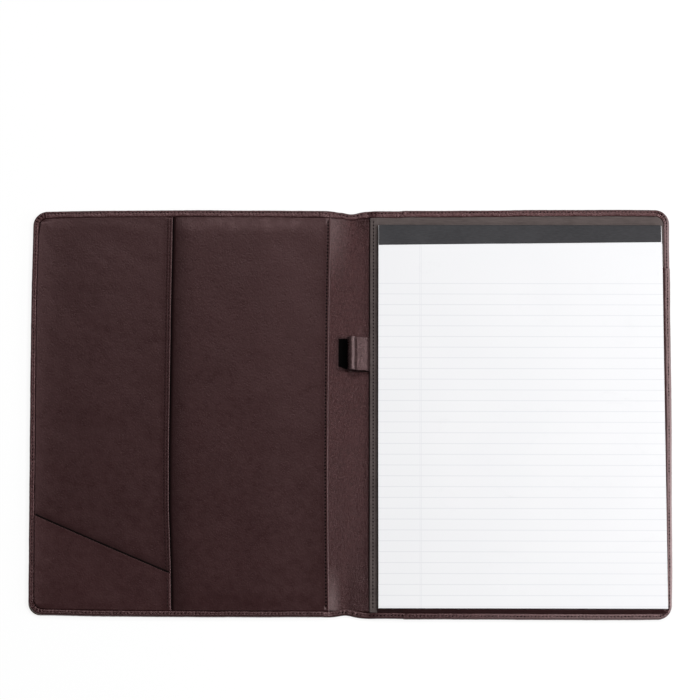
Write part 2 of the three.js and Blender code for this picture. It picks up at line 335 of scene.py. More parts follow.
def painted_shade_on_spine(n):
    """Painted shade on the spine: a soft shadow round the black patch, shade in the hollow at the foot and at the head
    by the strip, and darker towards the foot.
    """
    x, y, z = n.split()
    dx = n.math("MAXIMUM", n.math("SUBTRACT", n.math("ABSOLUTE", n.math("ADD", x, 0.00495)), 0.0040), 0.0)
    dy = n.math("MAXIMUM", n.math("SUBTRACT", n.math("ABSOLUTE", n.math("SUBTRACT", y, 0.0455)), 0.0119), 0.0)
    d = n.math("SQRT", n.math("ADD", n.math("MULTIPLY", dx, dx), n.math("MULTIPLY", dy, dy)))
    halo = n.range(d, 0.0, 0.0022, 0.95, 0)
    foot = n.math("MULTIPLY", n.range(y, -0.075, -0.125, 0, 1), n.range(x, -0.008, 0.001, 0, 0.62))
    low = n.range(y, 0.03, -0.14, 0, 0.38)
    head = n.math("MULTIPLY", n.range(y, 0.137, 0.149, 0, 1), n.range(x, 0.002, 0.009, 0, 0.55))
    return n.math("MAXIMUM", n.math("MAXIMUM", halo, low), n.math("MAXIMUM", foot, head))


def painted_highlight_on_edge(n):
    """Painted highlight: the right-hand edge, and the foot edge towards the right, are painted paler, most of all
    towards the foot.
    """
    x, y, z = n.split()
    side = n.math("MULTIPLY", n.range(x, 0.2388, 0.2424, 0, 1), n.range(y, 0.08, -0.12, 0.34, 0.80))
    foot = n.math("MULTIPLY", n.range(y, -0.1535, -0.1565, 0, 0.15), n.range(x, 0.05, 0.17, 0.0, 1.25))
    return n.math("MULTIPLY", n.math("MAXIMUM", side, foot), n.range(z, 0.001, 0.003, 0, 1))


def painted_highlight_on_spine(n):
    """Painted highlight on the spine's lining at its left, where it bends at the head and the foot."""
    x, y, z = n.split()
    head = n.math("MULTIPLY", n.range(y, 0.100, 0.143, 0, 0.15), n.range(x, 0.001, -0.0135, 0, 1))
    foot = n.math("MULTIPLY", n.range(y, -0.118, -0.145, 0, 0.19), n.range(x, -0.0060, -0.0120, 0, 1))
    return n.math("MAXIMUM", head, foot)


def painted_highlight_on_loop(n):
    """Painted highlight along the pen loop's crest."""
    x, y, z = n.split()
    d = n.math("ABSOLUTE", n.math("SUBTRACT", x, 0.0024))
    return n.math("MULTIPLY", n.range(d, 0.0004, 0.0013, 0.17, 0), n.math("GREATER_THAN", z, 0.0085))


def painted_shade_on_edge(n):
    """Painted shade: the turned edge is painted darker along the foot of the front cover, and a little at its head."""
    x, y, z = n.split()
    foot = n.math("MULTIPLY", n.range(y, -0.1500, -0.1535, 0, 1), n.range(x, 0.13, 0.015, 0, 0.72))
    head = n.math("MULTIPLY", n.range(y, 0.1500, 0.1535, 0, 1), n.range(x, 0.032, 0.004, 0, 0.34))
    return n.math("MAXIMUM", foot, head)


def painted_shade_on_foot(n):
    """Painted shade: the band along the pad's foot is painted darker to the left."""
    x, y, z = n.split()
    return n.range(x, 0.015, 0.20, 1.0, 0)


OXBLOOD = (0.0275, 0.0106, 0.0110)
TINT = (1.0, 0.66, 0.67)
mat_outer = leather("leather_outer", scaled(OXBLOOD, 1.9), 0.9, 0.9, 0.3, 0.14, 0.34, 0.50, speckle=0.62, painted_shade=painted_shade_on_edge, painted_highlight=painted_highlight_on_edge)
mat_inner = leather("leather_inner", OXBLOOD, 0.6, 0.3, 0.08, 0.07, 0.32, 0.23, speckle=0.17)
# the foot band's leather is a brighter copy of the inner leather, darkened to the left by painted shade
mat_foot = leather("leather_inner_foot", scaled(OXBLOOD, 1.45), 0.6, 0.3, 0.08, 0.07, 0.32, 0.23, painted_shade=painted_shade_on_foot, speckle=0.17)
mat_card = leather("leather_inner_card", scaled(OXBLOOD, 1.18), 0.6, 0.3, 0.08, 0.07, 0.32, 0.23, speckle=0.17)
mat_lining_front = leather("leather_inner_front", scaled(OXBLOOD, 1.04), 0.6, 0.3, 0.08, 0.07, 0.32, 0.23, painted_shade=painted_shade_by_pocket, speckle=0.17)
mat_pocket = leather("leather_inner_pocket", OXBLOOD, 0.6, 0.3, 0.08, 0.07, 0.32, 0.23, painted_shade=painted_shade_by_mouth, speckle=0.17)
# painted highlights for folded edges: pale copies of the leather laid on the faces along an edge
mat_painted_highlight = leather("leather_painted_highlight", (0.055, 0.030, 0.031), 0.4, 0.1, 0.0, 0.06, 0.34, 0.5, speckle=0.2)
mat_painted_highlight_light = leather("leather_painted_highlight_light", (0.088, 0.055, 0.056), 0.4, 0.1, 0.0, 0.06, 0.34, 0.6, speckle=0.2)
mat_spine = leather("leather_spine", scaled(OXBLOOD, 1.64), 0.9, 0.8, 1.0, 0.12, 0.33, 0.32, (0.45, (0.085, 0.046, 0.046)), (1900, 300, 1900), 0.8, painted_shade=painted_shade_on_spine, painted_highlight=painted_highlight_on_spine)
mat_loop = leather("leather_loop", (0.034, 0.019, 0.0195), 0.7, 0.3, 0.45, 0.08, 0.27, 0.50, None, (160, 1500, 160), 0.6, painted_highlight=painted_highlight_on_loop)


def pile_material(name, base, rough=0.95):
    """Matt, nearly black material with short pile, used for painted shade: shadow lines, needle holes and the patch
    beside the pen loop.
    """
    n = Nodes(name)
    pile = n.noise(2400, 3, 0.7)
    c = n.blend(n.range(pile, 0.35, 0.65, 0, 1), scaled(base, 0.7), scaled(base, 1.4))
    return n.finish(c, rough, n.bump(pile, 0.5, 0.00012), 0.03)


mat_painted_shade = pile_material("painted_shade_black", (0.0050, 0.0030, 0.0030))
mat_shadow_patch = pile_material("loop_shadow_patch_pile", (0.0018, 0.0015, 0.0015))


def thread_material(name, a, b):
    n = Nodes(name)
    ply = n.wave(700, "DIAGONAL", 1.0, 1.0)
    c = n.blend(n.range(n.noise(900, 2), 0.35, 0.65, 0, 1), a, b)
    return n.finish(c, 0.7, n.bump(ply, 0.5, 0.00008), 0.12)


mat_thread = thread_material("thread", (0.024, 0.0100, 0.0105), (0.040, 0.0180, 0.0185))
mat_thread_border = thread_material("thread_border", (0.058, 0.028, 0.029), (0.090, 0.046, 0.047))
mat_thread_grey = thread_material("thread_grey", (0.055, 0.042, 0.040), (0.085, 0.066, 0.063))


def lining_material():
    n = Nodes("lining_cloth")
    warp = n.wave(560, "X", 0.8, 1.0)
    weft = n.wave(560, "Y", 0.8, 1.0)
    weave = n.math("MULTIPLY", warp, weft)
    slub = n.noise(1.0, 3, 0.6, n.mapped((120, 900, 300)))
    slow = n.noise(60, 3, 0.5)
    c = n.blend(n.range(slow, 0.35, 0.65, 0, 1), (0.081, 0.0615, 0.0585), (0.104, 0.081, 0.077))
    c = n.blend(n.math("MULTIPLY", n.range(slub, 0.35, 0.65, 0, 1), 0.4), c, (0.160, 0.128, 0.122))
    c = n.blend(n.math("MULTIPLY", n.range(weave, 0.0, 0.5, 1, 0), 0.25), c, (0.035, 0.026, 0.025))
    nm = n.bump(weave, 0.4, 0.00012)
    nm = n.bump(slub, 0.35, 0.0002, nm)
    return n.finish(c, 0.78, nm, 0.25, sheen=0.12)


mat_lining = lining_material()


def paper_material(name, rules):
    n = Nodes(name)
    fibre = n.noise(1400, 4, 0.7)
    cloud = n.noise(18, 2, 0.5)
    c = n.blend(n.range(cloud, 0.3, 0.7, 0, 1), (0.886, 0.888, 0.906), (0.901, 0.902, 0.917))
    c = n.blend(n.math("MULTIPLY", n.range(fibre, 0.35, 0.65, 0, 1), 0.05), c, (0.84, 0.84, 0.85))
    if rules:
        x, y, z = n.split()
        # faint ruled lines across the sheet
        t = n.math("DIVIDE", n.math("SUBTRACT", 0.0994, y), 0.008343)
        off = n.math("ABSOLUTE", n.math("SUBTRACT", n.math("SUBTRACT", t, n.math("FLOOR", n.math("ADD", t, 0.5))), 0.0))
        line = n.range(off, 0.018, 0.045, 1, 0, True)
        inside = n.math("MULTIPLY", n.math("GREATER_THAN", t, -0.5), n.math("LESS_THAN", t, 30.6))
        line = n.math("MULTIPLY", line, inside)
        # double margin line
        m = None
        for at in (0.0530, 0.0541):
            d = n.math("ABSOLUTE", n.math("SUBTRACT", x, at))
            one = n.range(d, 0.00010, 0.00028, 1, 0, True)
            m = one if m is None else n.math("MAXIMUM", m, one)
        ink = n.math("MAXIMUM", n.math("MULTIPLY", line, 0.23), n.math("MULTIPLY", m, 0.18))
        c = n.blend(ink, c, (0.42, 0.44, 0.50))
    nm = n.bump(fibre, 0.12, 0.00006)
    return n.finish(c, 0.82, nm, 0.2)


mat_page = paper_material("paper_ruled", True)
mat_block = paper_material("paper_block", False)


def tape_material():
    n = Nodes("binding_tape_paper")
    slow = n.noise(40, 3, 0.6)
    fine = n.noise(1200, 3, 0.7)
    crepe = n.noise(1.0, 3, 0.6, n.mapped((240, 1600, 240)))
    c = n.blend(n.range(slow, 0.3, 0.7, 0, 1), (0.035, 0.0345, 0.0375), (0.046, 0.045, 0.0485))
    c = n.blend(n.math("MULTIPLY", n.range(crepe, 0.4, 0.65, 0, 1), 0.25), c, (0.082, 0.080, 0.086))
    nm = n.bump(fine, 0.3, 0.00010)
    nm = n.bump(crepe, 0.3, 0.00012, nm)
    return n.finish(c, 0.66, nm, 0.15)


mat_tape = tape_material()


def board_material(name, a, b):
    n = Nodes(name)
    speck = n.noise(1100, 4, 0.7)
    slow = n.noise(70, 3, 0.6)
    c = n.blend(n.range(slow, 0.3, 0.7, 0, 1), a, b)
    c = n.blend(n.math("MULTIPLY", n.range(speck, 0.5, 0.68, 0, 1), 0.4), c, scaled(a, 0.6))
    return n.finish(c, 0.9, n.bump(speck, 0.4, 0.00015), 0.2)


mat_board = board_material("raw_board", (0.27, 0.215, 0.15), (0.33, 0.265, 0.19))
mat_backing = board_material("chipboard", (0.31, 0.26, 0.20), (0.38, 0.32, 0.25))


def foam_material():
    n = Nodes("foam")
    cell = n.cells(1300, "F1")
    c = n.blend(n.range(cell, 0.2, 0.6, 0, 1), (0.37, 0.37, 0.35), (0.26, 0.26, 0.245))
    return n.finish(c, 0.95, n.bump(cell, 0.6, 0.0003), 0.15)


mat_foam = foam_material()


# ---- outer leather of the covers ----
WALL_STEPS = 10


def skin_rows(w, h):
    """Section of a turned edge: arrays (columns, rows) of distance from the edge and height, outside and inside."""
    w, h = np.asarray(w, float)[:, None], np.asarray(h, float)[:, None]
    one = np.ones_like(w)
    t = np.linspace(-np.pi / 2, np.pi / 2, WALL_STEPS)[None, :]
    e = 2 / 2.4
    cx, cz = np.cos(t), np.sin(t)
    sx, sz = np.abs(cx) ** e, np.sign(cz) * np.abs(cz) ** e
    wn, wz = 1.5 * (1 - sx) * one, h / 2 + h / 2 * sz
    flat_n = [11 * one, 6 * one, 2.8 * one]
    n = flat_n + [wn] + [k * one for k in (1.78, 2.12, 2.46, 2.9)] + [w - 1.3, w - 0.6, w - 0.3, w - 0.1, w]
    z = [0 * one] * 3 + [wz] + [h - 0.02, h - 0.05, h - 0.02, h, h, h - 0.02, h - 0.10, h - 0.26, h - 0.50]
    outer_n, outer_z = np.hstack(n), np.hstack([x * one if x.shape[1] == 1 else x for x in z])
    low, high = SKIN * one, h - SKIN
    wn2 = SKIN + 0.8 * (1 - sx) * one
    wz2 = (low + high) / 2 + (high - low) / 2 * sz
    inner_n = np.hstack([11 * one, 6 * one, 2.8 * one, wn2] + [k * one for k in (1.78, 2.12, 2.46, 2.9)] + [w - 1.3, w - 0.6, w - 0.3, w - 0.1, w - 0.02])
    inner_z = np.hstack([low] * 3 + [wz2] + [high] * 9)
    return outer_n, outer_z, inner_n, inner_z


N_FLAT, TOP0 = 3, 3 + WALL_STEPS  # rows of the flat underside, first row of the turned edge's top


def edge_height(x):
    return mix(SPINE_H, EDGE_H, smooth(13, 21, np.abs(x)))


def edge_shift(x, top):
    """How far the edge is drawn in at the spine, at the head (top) or the foot."""
    if top:
        d = 2.3 * np.exp(-((x - 0.5) / 7.5) ** 2) + 0.5 * np.exp(-((x + 9.5) / 3.0) ** 2)
    else:
        d = 1.6 * np.exp(-((x + 3.0) / 7.0) ** 2)
    return d


def section_details(n, z, s, wn, rows_from=TOP0):
    """Stitch holes along the groove and small unevenness of the turned edge."""
    phase = s / STITCH
    hole = np.abs(phase - np.round(phase)) * STITCH
    dip = 0.26 * np.exp(-((hole / 0.46) ** 2))
    z[:, rows_from] -= 0.25 * dip
    z[:, rows_from + 1] -= dip
    z[:, rows_from + 2] -= 0.25 * dip
    puff = 0.07 * np.cos(2 * np.pi * phase)
    z[:, rows_from + 3] -= puff
    z[:, rows_from + 4] -= 0.5 * puff
    wall = slice(N_FLAT + 2, N_FLAT + WALL_STEPS - 1)
    n[:, wall] += (0.05 * wn)[:, None]


def cover_path(side):
    """Path round a cover's three turned edges: position, inward direction, turned width, length so far."""
    top = joined(spaced(CUT, HALF_W - CORNER, 0.66))
    arc = np.linspace(0, np.pi / 2, 57)
    down = spaced(HALF_H - CORNER, -(HALF_H - CORNER), 0.66)
    px, py, nx, ny, w, kind = [], [], [], [], [], []
    for x in top:
        px.append(x), py.append(HALF_H), nx.append(0), ny.append(-1), w.append(TURN_TOP), kind.append(0)
    for a in arc[1:-1]:
        px.append(HALF_W - CORNER + CORNER * math.sin(a)), py.append(HALF_H - CORNER + CORNER * math.cos(a))
        nx.append(-math.sin(a)), ny.append(-math.cos(a)), w.append(mix(TURN_TOP, TURN_SIDE, a / (math.pi / 2))), kind.append(1)
    for y in down:
        px.append(HALF_W), py.append(y), nx.append(-1), ny.append(0), w.append(TURN_SIDE), kind.append(2)
    for a in arc[1:-1]:
        px.append(HALF_W - CORNER + CORNER * math.cos(a)), py.append(-(HALF_H - CORNER) - CORNER * math.sin(a))
        nx.append(-math.cos(a)), ny.append(math.sin(a)), w.append(TURN_SIDE), kind.append(3)
    for x in top[::-1]:
        px.append(x), py.append(-HALF_H), nx.append(0), ny.append(1), w.append(TURN_SIDE), kind.append(4)
    p = np.array([px, py]).T
    nrm = np.array([nx, ny], float).T
    mid = p + nrm * 2.12
    s = np.concatenate([[0], np.cumsum(np.hypot(*np.diff(mid, axis=0).T))])
    p[:, 0] *= side
    nrm[:, 0] *= side
    return p, nrm, np.array(w), np.array(kind), s, len(top), len(arc), len(down)


def cover_leather(side, name):
    p, nrm, w, kind, s, n_top, n_arc, n_down = cover_path(side)
    x, y = p[:, 0], p[:, 1]
    h = edge_height(x)
    w = w + 0.16 * wobble(s, 0 * s, 16, 3.1 + side) + 0.10 * wobble(s, 0 * s, 4.5, 7.7 + side)
    on, oz, inn, iz = skin_rows(w, h)
    section_details(on, oz, s, wobble(s, 0 * s, 3.0, 1.3))
    # low swells of the turned edge
    swell = 0.09 * wobble(s, 0 * s, 11, 5.5 + side) + 0.05 * wobble(s, 0 * s, 3.2, 9.5)
    oz[:, TOP0 - 1:TOP0 + 6] += swell[:, None]
    # pleats where the leather is gathered round a corner
    for k, count, depth in ((1, 7, 0.66), (3, 7, 0.60)):
        i = np.where(kind == k)[0]
        a = (np.arange(len(i)) + 0.5) / len(i)
        c = count if side > 0 else 5
        f = a * c
        saw = (f - np.floor(f))
        bite = np.exp(-((np.minimum(saw, 1 - saw) / 0.10) ** 2))
        fade = np.sin(np.pi * a) ** 0.4
        d = depth * (0.35 * saw + 0.9 * bite) * fade
        for r, g in ((TOP0 - 2, 0.3), (TOP0 - 1, 0.6), (TOP0, 0.8), (TOP0 + 1, 0.7), (TOP0 + 2, 1.0), (TOP0 + 3, 1.1), (TOP0 + 4, 1.2), (TOP0 + 5, 1.2), (TOP0 + 6, 1.0), (TOP0 + 7, 0.6)):
            oz[i, r] -= g * d
    # where the panel under the turned edge ends, the edge steps and a slanting fold crosses it
    if side > 0:
        for k, c0, sgn in ((0, 39.4, 1), (4, 40.1, 1)):
            i = np.where(kind == k)[0]
            for r in range(N_FLAT + 2, TOP0 + 9):
                slant = (on[i, r] - 2.0) * (0.9 if k == 0 else -0.9)
                t = x[i] - (c0 - slant)
                oz[i, r] -= 0.62 * np.exp(-((t / 0.7) ** 2)) * (1 if r >= TOP0 - 2 else 0.4)
                oz[i, r] += 0.24 * np.exp(-(((t - 1.7) / 1.0) ** 2))
        i = np.where(kind == 2)[0]
        for r in range(N_FLAT + 2, TOP0 + 9):
            t = y[i] - (113.1 + (on[i, r] - 2.0) * 0.9)
            oz[i, r] -= 0.36 * np.exp(-((t / 0.7) ** 2)) * (1 if r >= TOP0 - 2 else 0.4)
            oz[i, r] += 0.14 * np.exp(-(((t + 1.7) / 1.0) ** 2))
    # the outline: drawn in at the spine, a little uneven, and out by a hair along the slot panel
    shift = np.zeros(len(x))
    shift[kind == 0] = edge_shift(x[kind == 0], True)
    shift[kind == 4] = edge_shift(x[kind == 4], False)
    shift += 0.16 * (wobble(s, 0 * s, 30, 2.2 * side) + 0.4) * smooth(0, 12, np.minimum(s, s[-1] - s))
    if side > 0:
        lip = np.zeros(len(x))
        lip[kind == 0] = -0.32 * smooth(39.2, 40.2, x[kind == 0]) * (1 - smooth(60, 110, x[kind == 0]))
        lip[kind == 4] = -0.32 * smooth(39.9, 40.9, x[kind == 4]) * (1 - smooth(60, 110, x[kind == 4]))
        lip[kind == 2] = -0.30 * (1 - smooth(112, 113.4, y[kind == 2])) * smooth(70, 105, y[kind == 2])
        shift += lip
    fade = np.ones(on.shape[1])
    fade[0], fade[1] = 0.0, 0.6
    on = on + shift[:, None] * fade[None, :]
    inn = inn + shift[:, None] * fade[None, :]
    rows, cols = on.shape[1], on.shape[0]
    index = -np.ones((cols, rows), int)
    ov, iv = [], []
    corner_vert = {}
    for i in range(cols):
        for r in range(rows):
            if r == 0 and kind[i] in (1, 3):
                index[i, r] = -2 if kind[i] == 1 else -3
                continue
            index[i, r] = len(ov)
            ov.append((p[i, 0] + nrm[i, 0] * on[i, r], p[i, 1] + nrm[i, 1] * on[i, r], oz[i, r]))
            iv.append((p[i, 0] + nrm[i, 0] * inn[i, r], p[i, 1] + nrm[i, 1] * inn[i, r], iz[i, r]))
    # at the corner centre all the arc's columns share the last point of the head (or foot)
    c1, c3 = n_top - 1, cols - n_top
    centre = {-2: index[c1, 0], -3: index[c3, 0]}
    first_down = n_top + n_arc - 2
    last_down = first_down + n_down - 1
    index[first_down, 0] = index[c1, 0]
    index[last_down, 0] = index[c3, 0]
    for i in range(cols):
        if index[i, 0] < 0:
            index[i, 0] = centre[index[i, 0]]
    faces = []
    for i in range(cols - 1):
        for r in range(rows - 1):
            q = [index[i, r], index[i + 1, r], index[i + 1, r + 1], index[i, r + 1]]
            u = []
            for v in q:
                if not u or v != u[-1]:
                    u.append(v)
            if u[0] == u[-1]:
                u.pop()
            if len(set(u)) >= 3:
                faces.append(tuple(u))
    # the flat underside inside the ring
    ti = [j for j in range(n_top) if (x[j] * side < 24 and j % 2 == 0) or (x[j] * side >= 24 and j % 8 == 0)]
    if ti[-1] != n_top - 1:
        ti.append(n_top - 1)
    di = list(range(0, n_down, 8))
    if di[-1] != n_down - 1:
        di.append(n_down - 1)
    grid = np.zeros((len(di), len(ti)), int)
    for a, d in enumerate(di):
        for b, t in enumerate(ti):
            if a == 0:
                grid[a, b] = index[t, 0]
            elif a == len(di) - 1:
                grid[a, b] = index[cols - 1 - t, 0]
            elif b == len(ti) - 1:
                grid[a, b] = index[first_down + d, 0]
            else:
                grid[a, b] = len(ov)
                gx, gy = p[t, 0], p[first_down + d, 1]
                ov.append((gx, gy, 0.0))
                iv.append((gx, gy, SKIN))
    for a in range(len(di) - 1):
        for b in range(len(ti) - 1):
            top_edge = [grid[a, b], grid[a, b + 1]]
            right = [grid[a + 1, b + 1]]
            bottom = [grid[a + 1, b]]
            if a == 0:
                top_edge = [index[t, 0] for t in range(ti[b], ti[b + 1] + 1)]
            if a == len(di) - 2:
                low = [index[cols - 1 - t, 0] for t in range(ti[b + 1], ti[b] - 1, -1)]
                right, bottom = low[:1], low[1:]
            mid = []
            if b == len(ti) - 2:
                mid = [index[first_down + d, 0] for d in range(di[a] + 1, di[a + 1])]
            faces.append(tuple(reversed(top_edge + mid + right + bottom)))
    if side < 0:
        faces = [tuple(reversed(f)) for f in faces]
    v, f = thick(np.array(ov), np.array(iv), faces)
    return mesh_piece(name, v, f, mat_outer), p, nrm, s, h, shift, kind


def spine_leather(x0, x1, name):
    """The outer leather across the spine between two cuts, with both ends turned in."""
    xs = spaced(x0, x1, 0.66)
    top_w, foot_w = TURN_TOP - 0.6 + 0 * xs, TURN_SIDE + 0.4 + 0 * xs
    w0 = mix(top_w, TURN_TOP, smooth(9, 10.6, np.abs(xs)))
    w1 = mix(foot_w, TURN_SIDE, smooth(9, 10.6, np.abs(xs)))
    h = edge_height(xs)
    outer, inner = [], []
    for top in (True, False):
        w = w0 if top else w1
        on, oz, inn, iz = skin_rows(w, h)
        s = xs * (1 if top else -1)
        section_details(on, oz, s, wobble(s, 0 * s, 3.0, 1.3))
        crease = 0.16 * wobble(xs, 0 * xs, 2.2, 4.4 if top else 8.8) * smooth(CUT, CUT - 1.5, np.abs(xs))
        oz[:, TOP0 - 3:TOP0 + 7] += crease[:, None]
        shift = edge_shift(xs, top)
        fade = np.ones(on.shape[1])
        fade[0], fade[1] = 0.0, 0.6
        on, inn = on + shift[:, None] * fade, inn + shift[:, None] * fade
        sgn = 1 if top else -1
        outer.append((sgn * (HALF_H - on), oz))
        inner.append((sgn * (HALF_H - inn), iz))
    mid = spaced(HALF_H - 11, -(HALF_H - 11), 6.0)[1:-1]
    flat = np.tile(mid, (len(xs), 1))
    oy = np.hstack([outer[0][0][:, ::-1], flat, outer[1][0]])
    ozz = np.hstack([outer[0][1][:, ::-1], 0 * flat, outer[1][1]])
    iy = np.hstack([inner[0][0][:, ::-1], flat, inner[1][0]])
    izz = np.hstack([inner[0][1][:, ::-1], 0 * flat + SKIN, inner[1][1]])
    X = np.tile(xs[:, None], (1, oy.shape[1]))
    o = np.stack([X, oy, ozz], -1).reshape(-1, 3)
    i = np.stack([X, iy, izz], -1).reshape(-1, 3)
    v, f = thick(o, i, grid_faces(X.shape[0], X.shape[1], flip=True))
    return mesh_piece(name, v, f, mat_outer)


BLENDS = {
    "front": ("front_cover", "spine_front", -20.6, -11.2),
    "spine_front": ("spine_front", "spine_middle", -9.6, -1.0),
    "spine_back": ("spine_middle", "spine_back", 1.0, 9.6),
    "back": ("spine_back", "back_cover", 11.2, 20.6),
}


def bend(ob):
    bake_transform(ob)
    return ob


cover_front, pf, nf, sf, hf, shf, kf = cover_leather(-1, "cover_leather_front")
cover_back, pb, nb, sb, hb, shb, kb = cover_leather(1, "cover_leather_back")
spine_front = spine_leather(-CUT, 0, "spine_outer_front")
spine_back = spine_leather(0, CUT, "spine_outer_back")
bend(cover_front)
bend(cover_back)
bend(spine_front)
bend(spine_back)
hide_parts("front_cover_leather", "front_turned_edge")
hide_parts("back_cover_leather", "back_turned_edge")
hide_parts("spine_leather_front", "spine_leather_middle")
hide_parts("spine_leather_back")


# ---- lining of the spine ----
def spine_floor(x, y):
    """Height of the creased lining over the spine."""
    x, y = np.asarray(x, float), np.asarray(y, float)
    left = 0.42 * smooth(-9.5, -17.5, x)
    right = 0.6 * smooth(10.0, 15.0, x)
    ends = smooth(112, 152, np.abs(y))
    mid = np.where(y > 0, 3.0, -3.0)
    hollow = 0.65 * np.exp(-((x - mid) / 6.0) ** 2)
    rise = np.where(x < mid, 1.9 * smooth(-8.0, -18.5, x) + 0.35 * smooth(mid, mid - 10, x), 1.15 * smooth(0.0, 13.0, np.abs(x - mid)))
    z = 2.10 + left + right + ends * (rise - hollow)
    big = wobble(x, y, (3.4, 26), 11.0) * 0.045
    fold = wobble(x, y, (0.85, 6.0), 17.0) * 0.075
    small = wobble(x, y, (0.75, 1.8), 23.0) * 0.075
    calm = smooth(-17.5, -14.5, x) * smooth(16.0, 13.5, x)
    return z + (big + fold + small) * calm


def spine_lining(x0, x1, name):
    xs = spaced(x0, x1, 0.5)
    end = HALF_H - 3.0
    ys = joined(spaced(end, end - 12, 0.45), spaced(end - 12, -end + 12, 1.0), spaced(-end + 12, -end, 0.45))
    X, Y = np.meshgrid(xs, ys, indexing="ij")
    # the ends are drawn in with the spine
    pull_t, pull_f = edge_shift(X, True), edge_shift(X, False)
    Yp = Y - pull_t * smooth(120, end, Y) + pull_f * smooth(120, end, -Y)
    Z = spine_floor(X, Yp)
    under = edge_height(X) - SKIN - 0.12
    inside = HALF_H - np.abs(Yp)
    edge = np.where(Yp > 0, smooth(6.6, 5.4, inside), smooth(5.5, 4.3, inside))
    Z = mix(Z, np.minimum(Z, under), edge)
    low = np.where(np.abs(X) > 13, 1.25 + 0 * Z, 1.2)
    low = np.maximum(low, 0.9)
    o = np.stack([X, Yp, Z], -1).reshape(-1, 3)
    i = np.stack([X, Yp, np.minimum(low, Z - 0.25)], -1).reshape(-1, 3)
    v, f = thick(o, i, grid_faces(len(xs), len(ys), flip=True))
    return mesh_piece(name, v, f, mat_spine)


parts = (
    ("spine_lining_1", -19.0, -CUT, "front", ("spine_lining_front",)),
    ("spine_lining_2", -CUT, 0.0, "spine_front", ("spine_lining_middle",)),
    ("spine_lining_3", 0.0, CUT, "spine_back", ()),
    ("spine_lining_4", CUT, 19.5, "back", ("spine_lining_back",)),
)
for name, x0, x1, key, nodes in parts:
    ob = spine_lining(x0, x1, name)
    bend(ob)
    if nodes:
        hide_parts(*nodes)


# ---- panels ----
def round_corners(X, Y, margin=1.7):
    """Draw a panel's square corners in to the folder's round ones."""
    cx, cy, r = HALF_W - CORNER, HALF_H - CORNER, CORNER - margin
    a = np.clip((np.abs(X) - cx) / r, 0, 1)
    b = np.clip((np.abs(Y) - cy) / r, 0, 1)
    both = (a > 0) & (b > 0)
    a2, b2 = a * np.sqrt(1 - b * b / 2), b * np.sqrt(1 - a * a / 2)
    X2 = np.where(both, np.sign(X) * (cx + r * a2), X)
    Y2 = np.where(both, np.sign(Y) * (cy + r * b2), Y)
    return X2, Y2


def turned_width(x, y):
    return mix(TURN_SIDE, TURN_TOP, smooth(138, 150, y))


EDGE_XY = np.array([[-160, -133.7], [-153, -133.9], [-120, -134.6], [-75, -136.6], [-31, -137.1], [87, -136.8], [130, -136.4], [160, -136.2]])


def pocket_edge(y):
    """Free edge of the document pocket."""
    return np.interp(y, EDGE_XY[:, 0], EDGE_XY[:, 1])


HALF_IN = HALF_H - 1.7
WIDE_IN = HALF_W - 1.7
near = lambda a, b: spaced(a, b, 0.9)


def ends_y(fine=0.9, coarse=2.4, reach=16):
    a, b = HALF_IN - 6, HALF_IN - reach
    return joined(spaced(-HALF_IN, -a, 0.35), spaced(-a, -b, fine), spaced(-b, b, coarse), spaced(b, a, fine), spaced(a, HALF_IN, 0.35))


def panel(name, xs, ys, place, top, bottom, material, flip=False, drawn=True):
    X, Y = np.meshgrid(xs, ys, indexing="ij")
    X, Y = place(X, Y)
    o = np.stack([X, Y, top(X, Y)], -1).reshape(-1, 3)
    i = np.stack([X, Y, bottom(X, Y)], -1).reshape(-1, 3)
    v, f = thick(o, i, grid_faces(len(xs), len(ys)))
    if not flip:
        f = [tuple(reversed(g)) for g in f]
    return mesh_piece(name, v, f, material, drawn=drawn)


def rim(ob, test, material=None):
    """Painted highlight: faces along a folded edge get a lighter leather, standing in for the light the edge catches.
    """
    me = ob.data
    me.materials.append(material or mat_painted_highlight)
    for poly in me.polygons:
        x, y, z = poly.center / MM
        if poly.normal.z > 0.05 and test(x, y):
            poly.material_index = 1


def free_edge(d, r=0.45):
    """Drop of a folded edge's top at distance d inside it."""
    d = np.clip(np.asarray(d, float), 0, r)
    return r - np.sqrt(np.maximum(r * r - (r - d) ** 2, 0))


# front lining, seen between the document pocket and the spine
FRONT_EDGE = -16.6
FRONT_OUT = np.array([[-160, 1.5], [-137, 1.15], [-94, 0.6], [-40, 0.2], [0, 0.3], [67, 0.65], [100, 1.0], [139, 1.7], [160, 1.9]])


def front_edge(y):
    """The lining's stitched edge beside the spine isn't quite straight."""
    return FRONT_EDGE + np.interp(y, FRONT_OUT[:, 0], FRONT_OUT[:, 1])


def front_place(X, Y):
    X = np.where(X > -40, X + (front_edge(Y) - FRONT_EDGE) * np.minimum((X + 40) / 19.0, 1.0), X)
    return round_corners(X, Y)


def level(n, w, y):
    """A panel comes up to its level close by the turned edge, and more slowly at the head."""
    quick = smooth(w - 0.15, w + 0.35, n)
    return mix(quick, 0.85 * quick + 0.15 * smooth(w, w + 9, n), smooth(120, 150, y))


def front_top(x, y):
    n = inset(x, y)
    w = turned_width(x, y)
    d = np.maximum(x - pocket_edge(y), 0)
    valley = 0.8 * smooth(0.5, 2.2, d) + 0.5 * (1 - np.exp(-d / 3.5)) + 0.9 * (1 - np.exp(-d / 11))
    puff = 0.75 * level(n, w, y) + 0.25 * smooth(w, w + 14, n)
    z = 3.36 + (0.42 + 0.18 * smooth(0.5, 3.0, d)) * level(n, w, y) - 0.42 * np.exp(-((np.maximum(x - pocket_edge(y), -0.2) / 0.8) ** 2)) * (x > pocket_edge(y) - 1.2)
    z = z + valley * puff * mix(1, 0.38, smooth(-70, -21, x))
    z = z + 0.10 * wobble(x, y, 24, 31.0) * smooth(w + 2, w + 12, n) * smooth(4, 20, d)
    e = front_edge(y) - x
    z = z + 0.20 * smooth(6, 2.0, e) - 0.10 * np.exp(-(((e - 2.3) / 0.5) ** 2))
    return z - free_edge(e, 0.75)


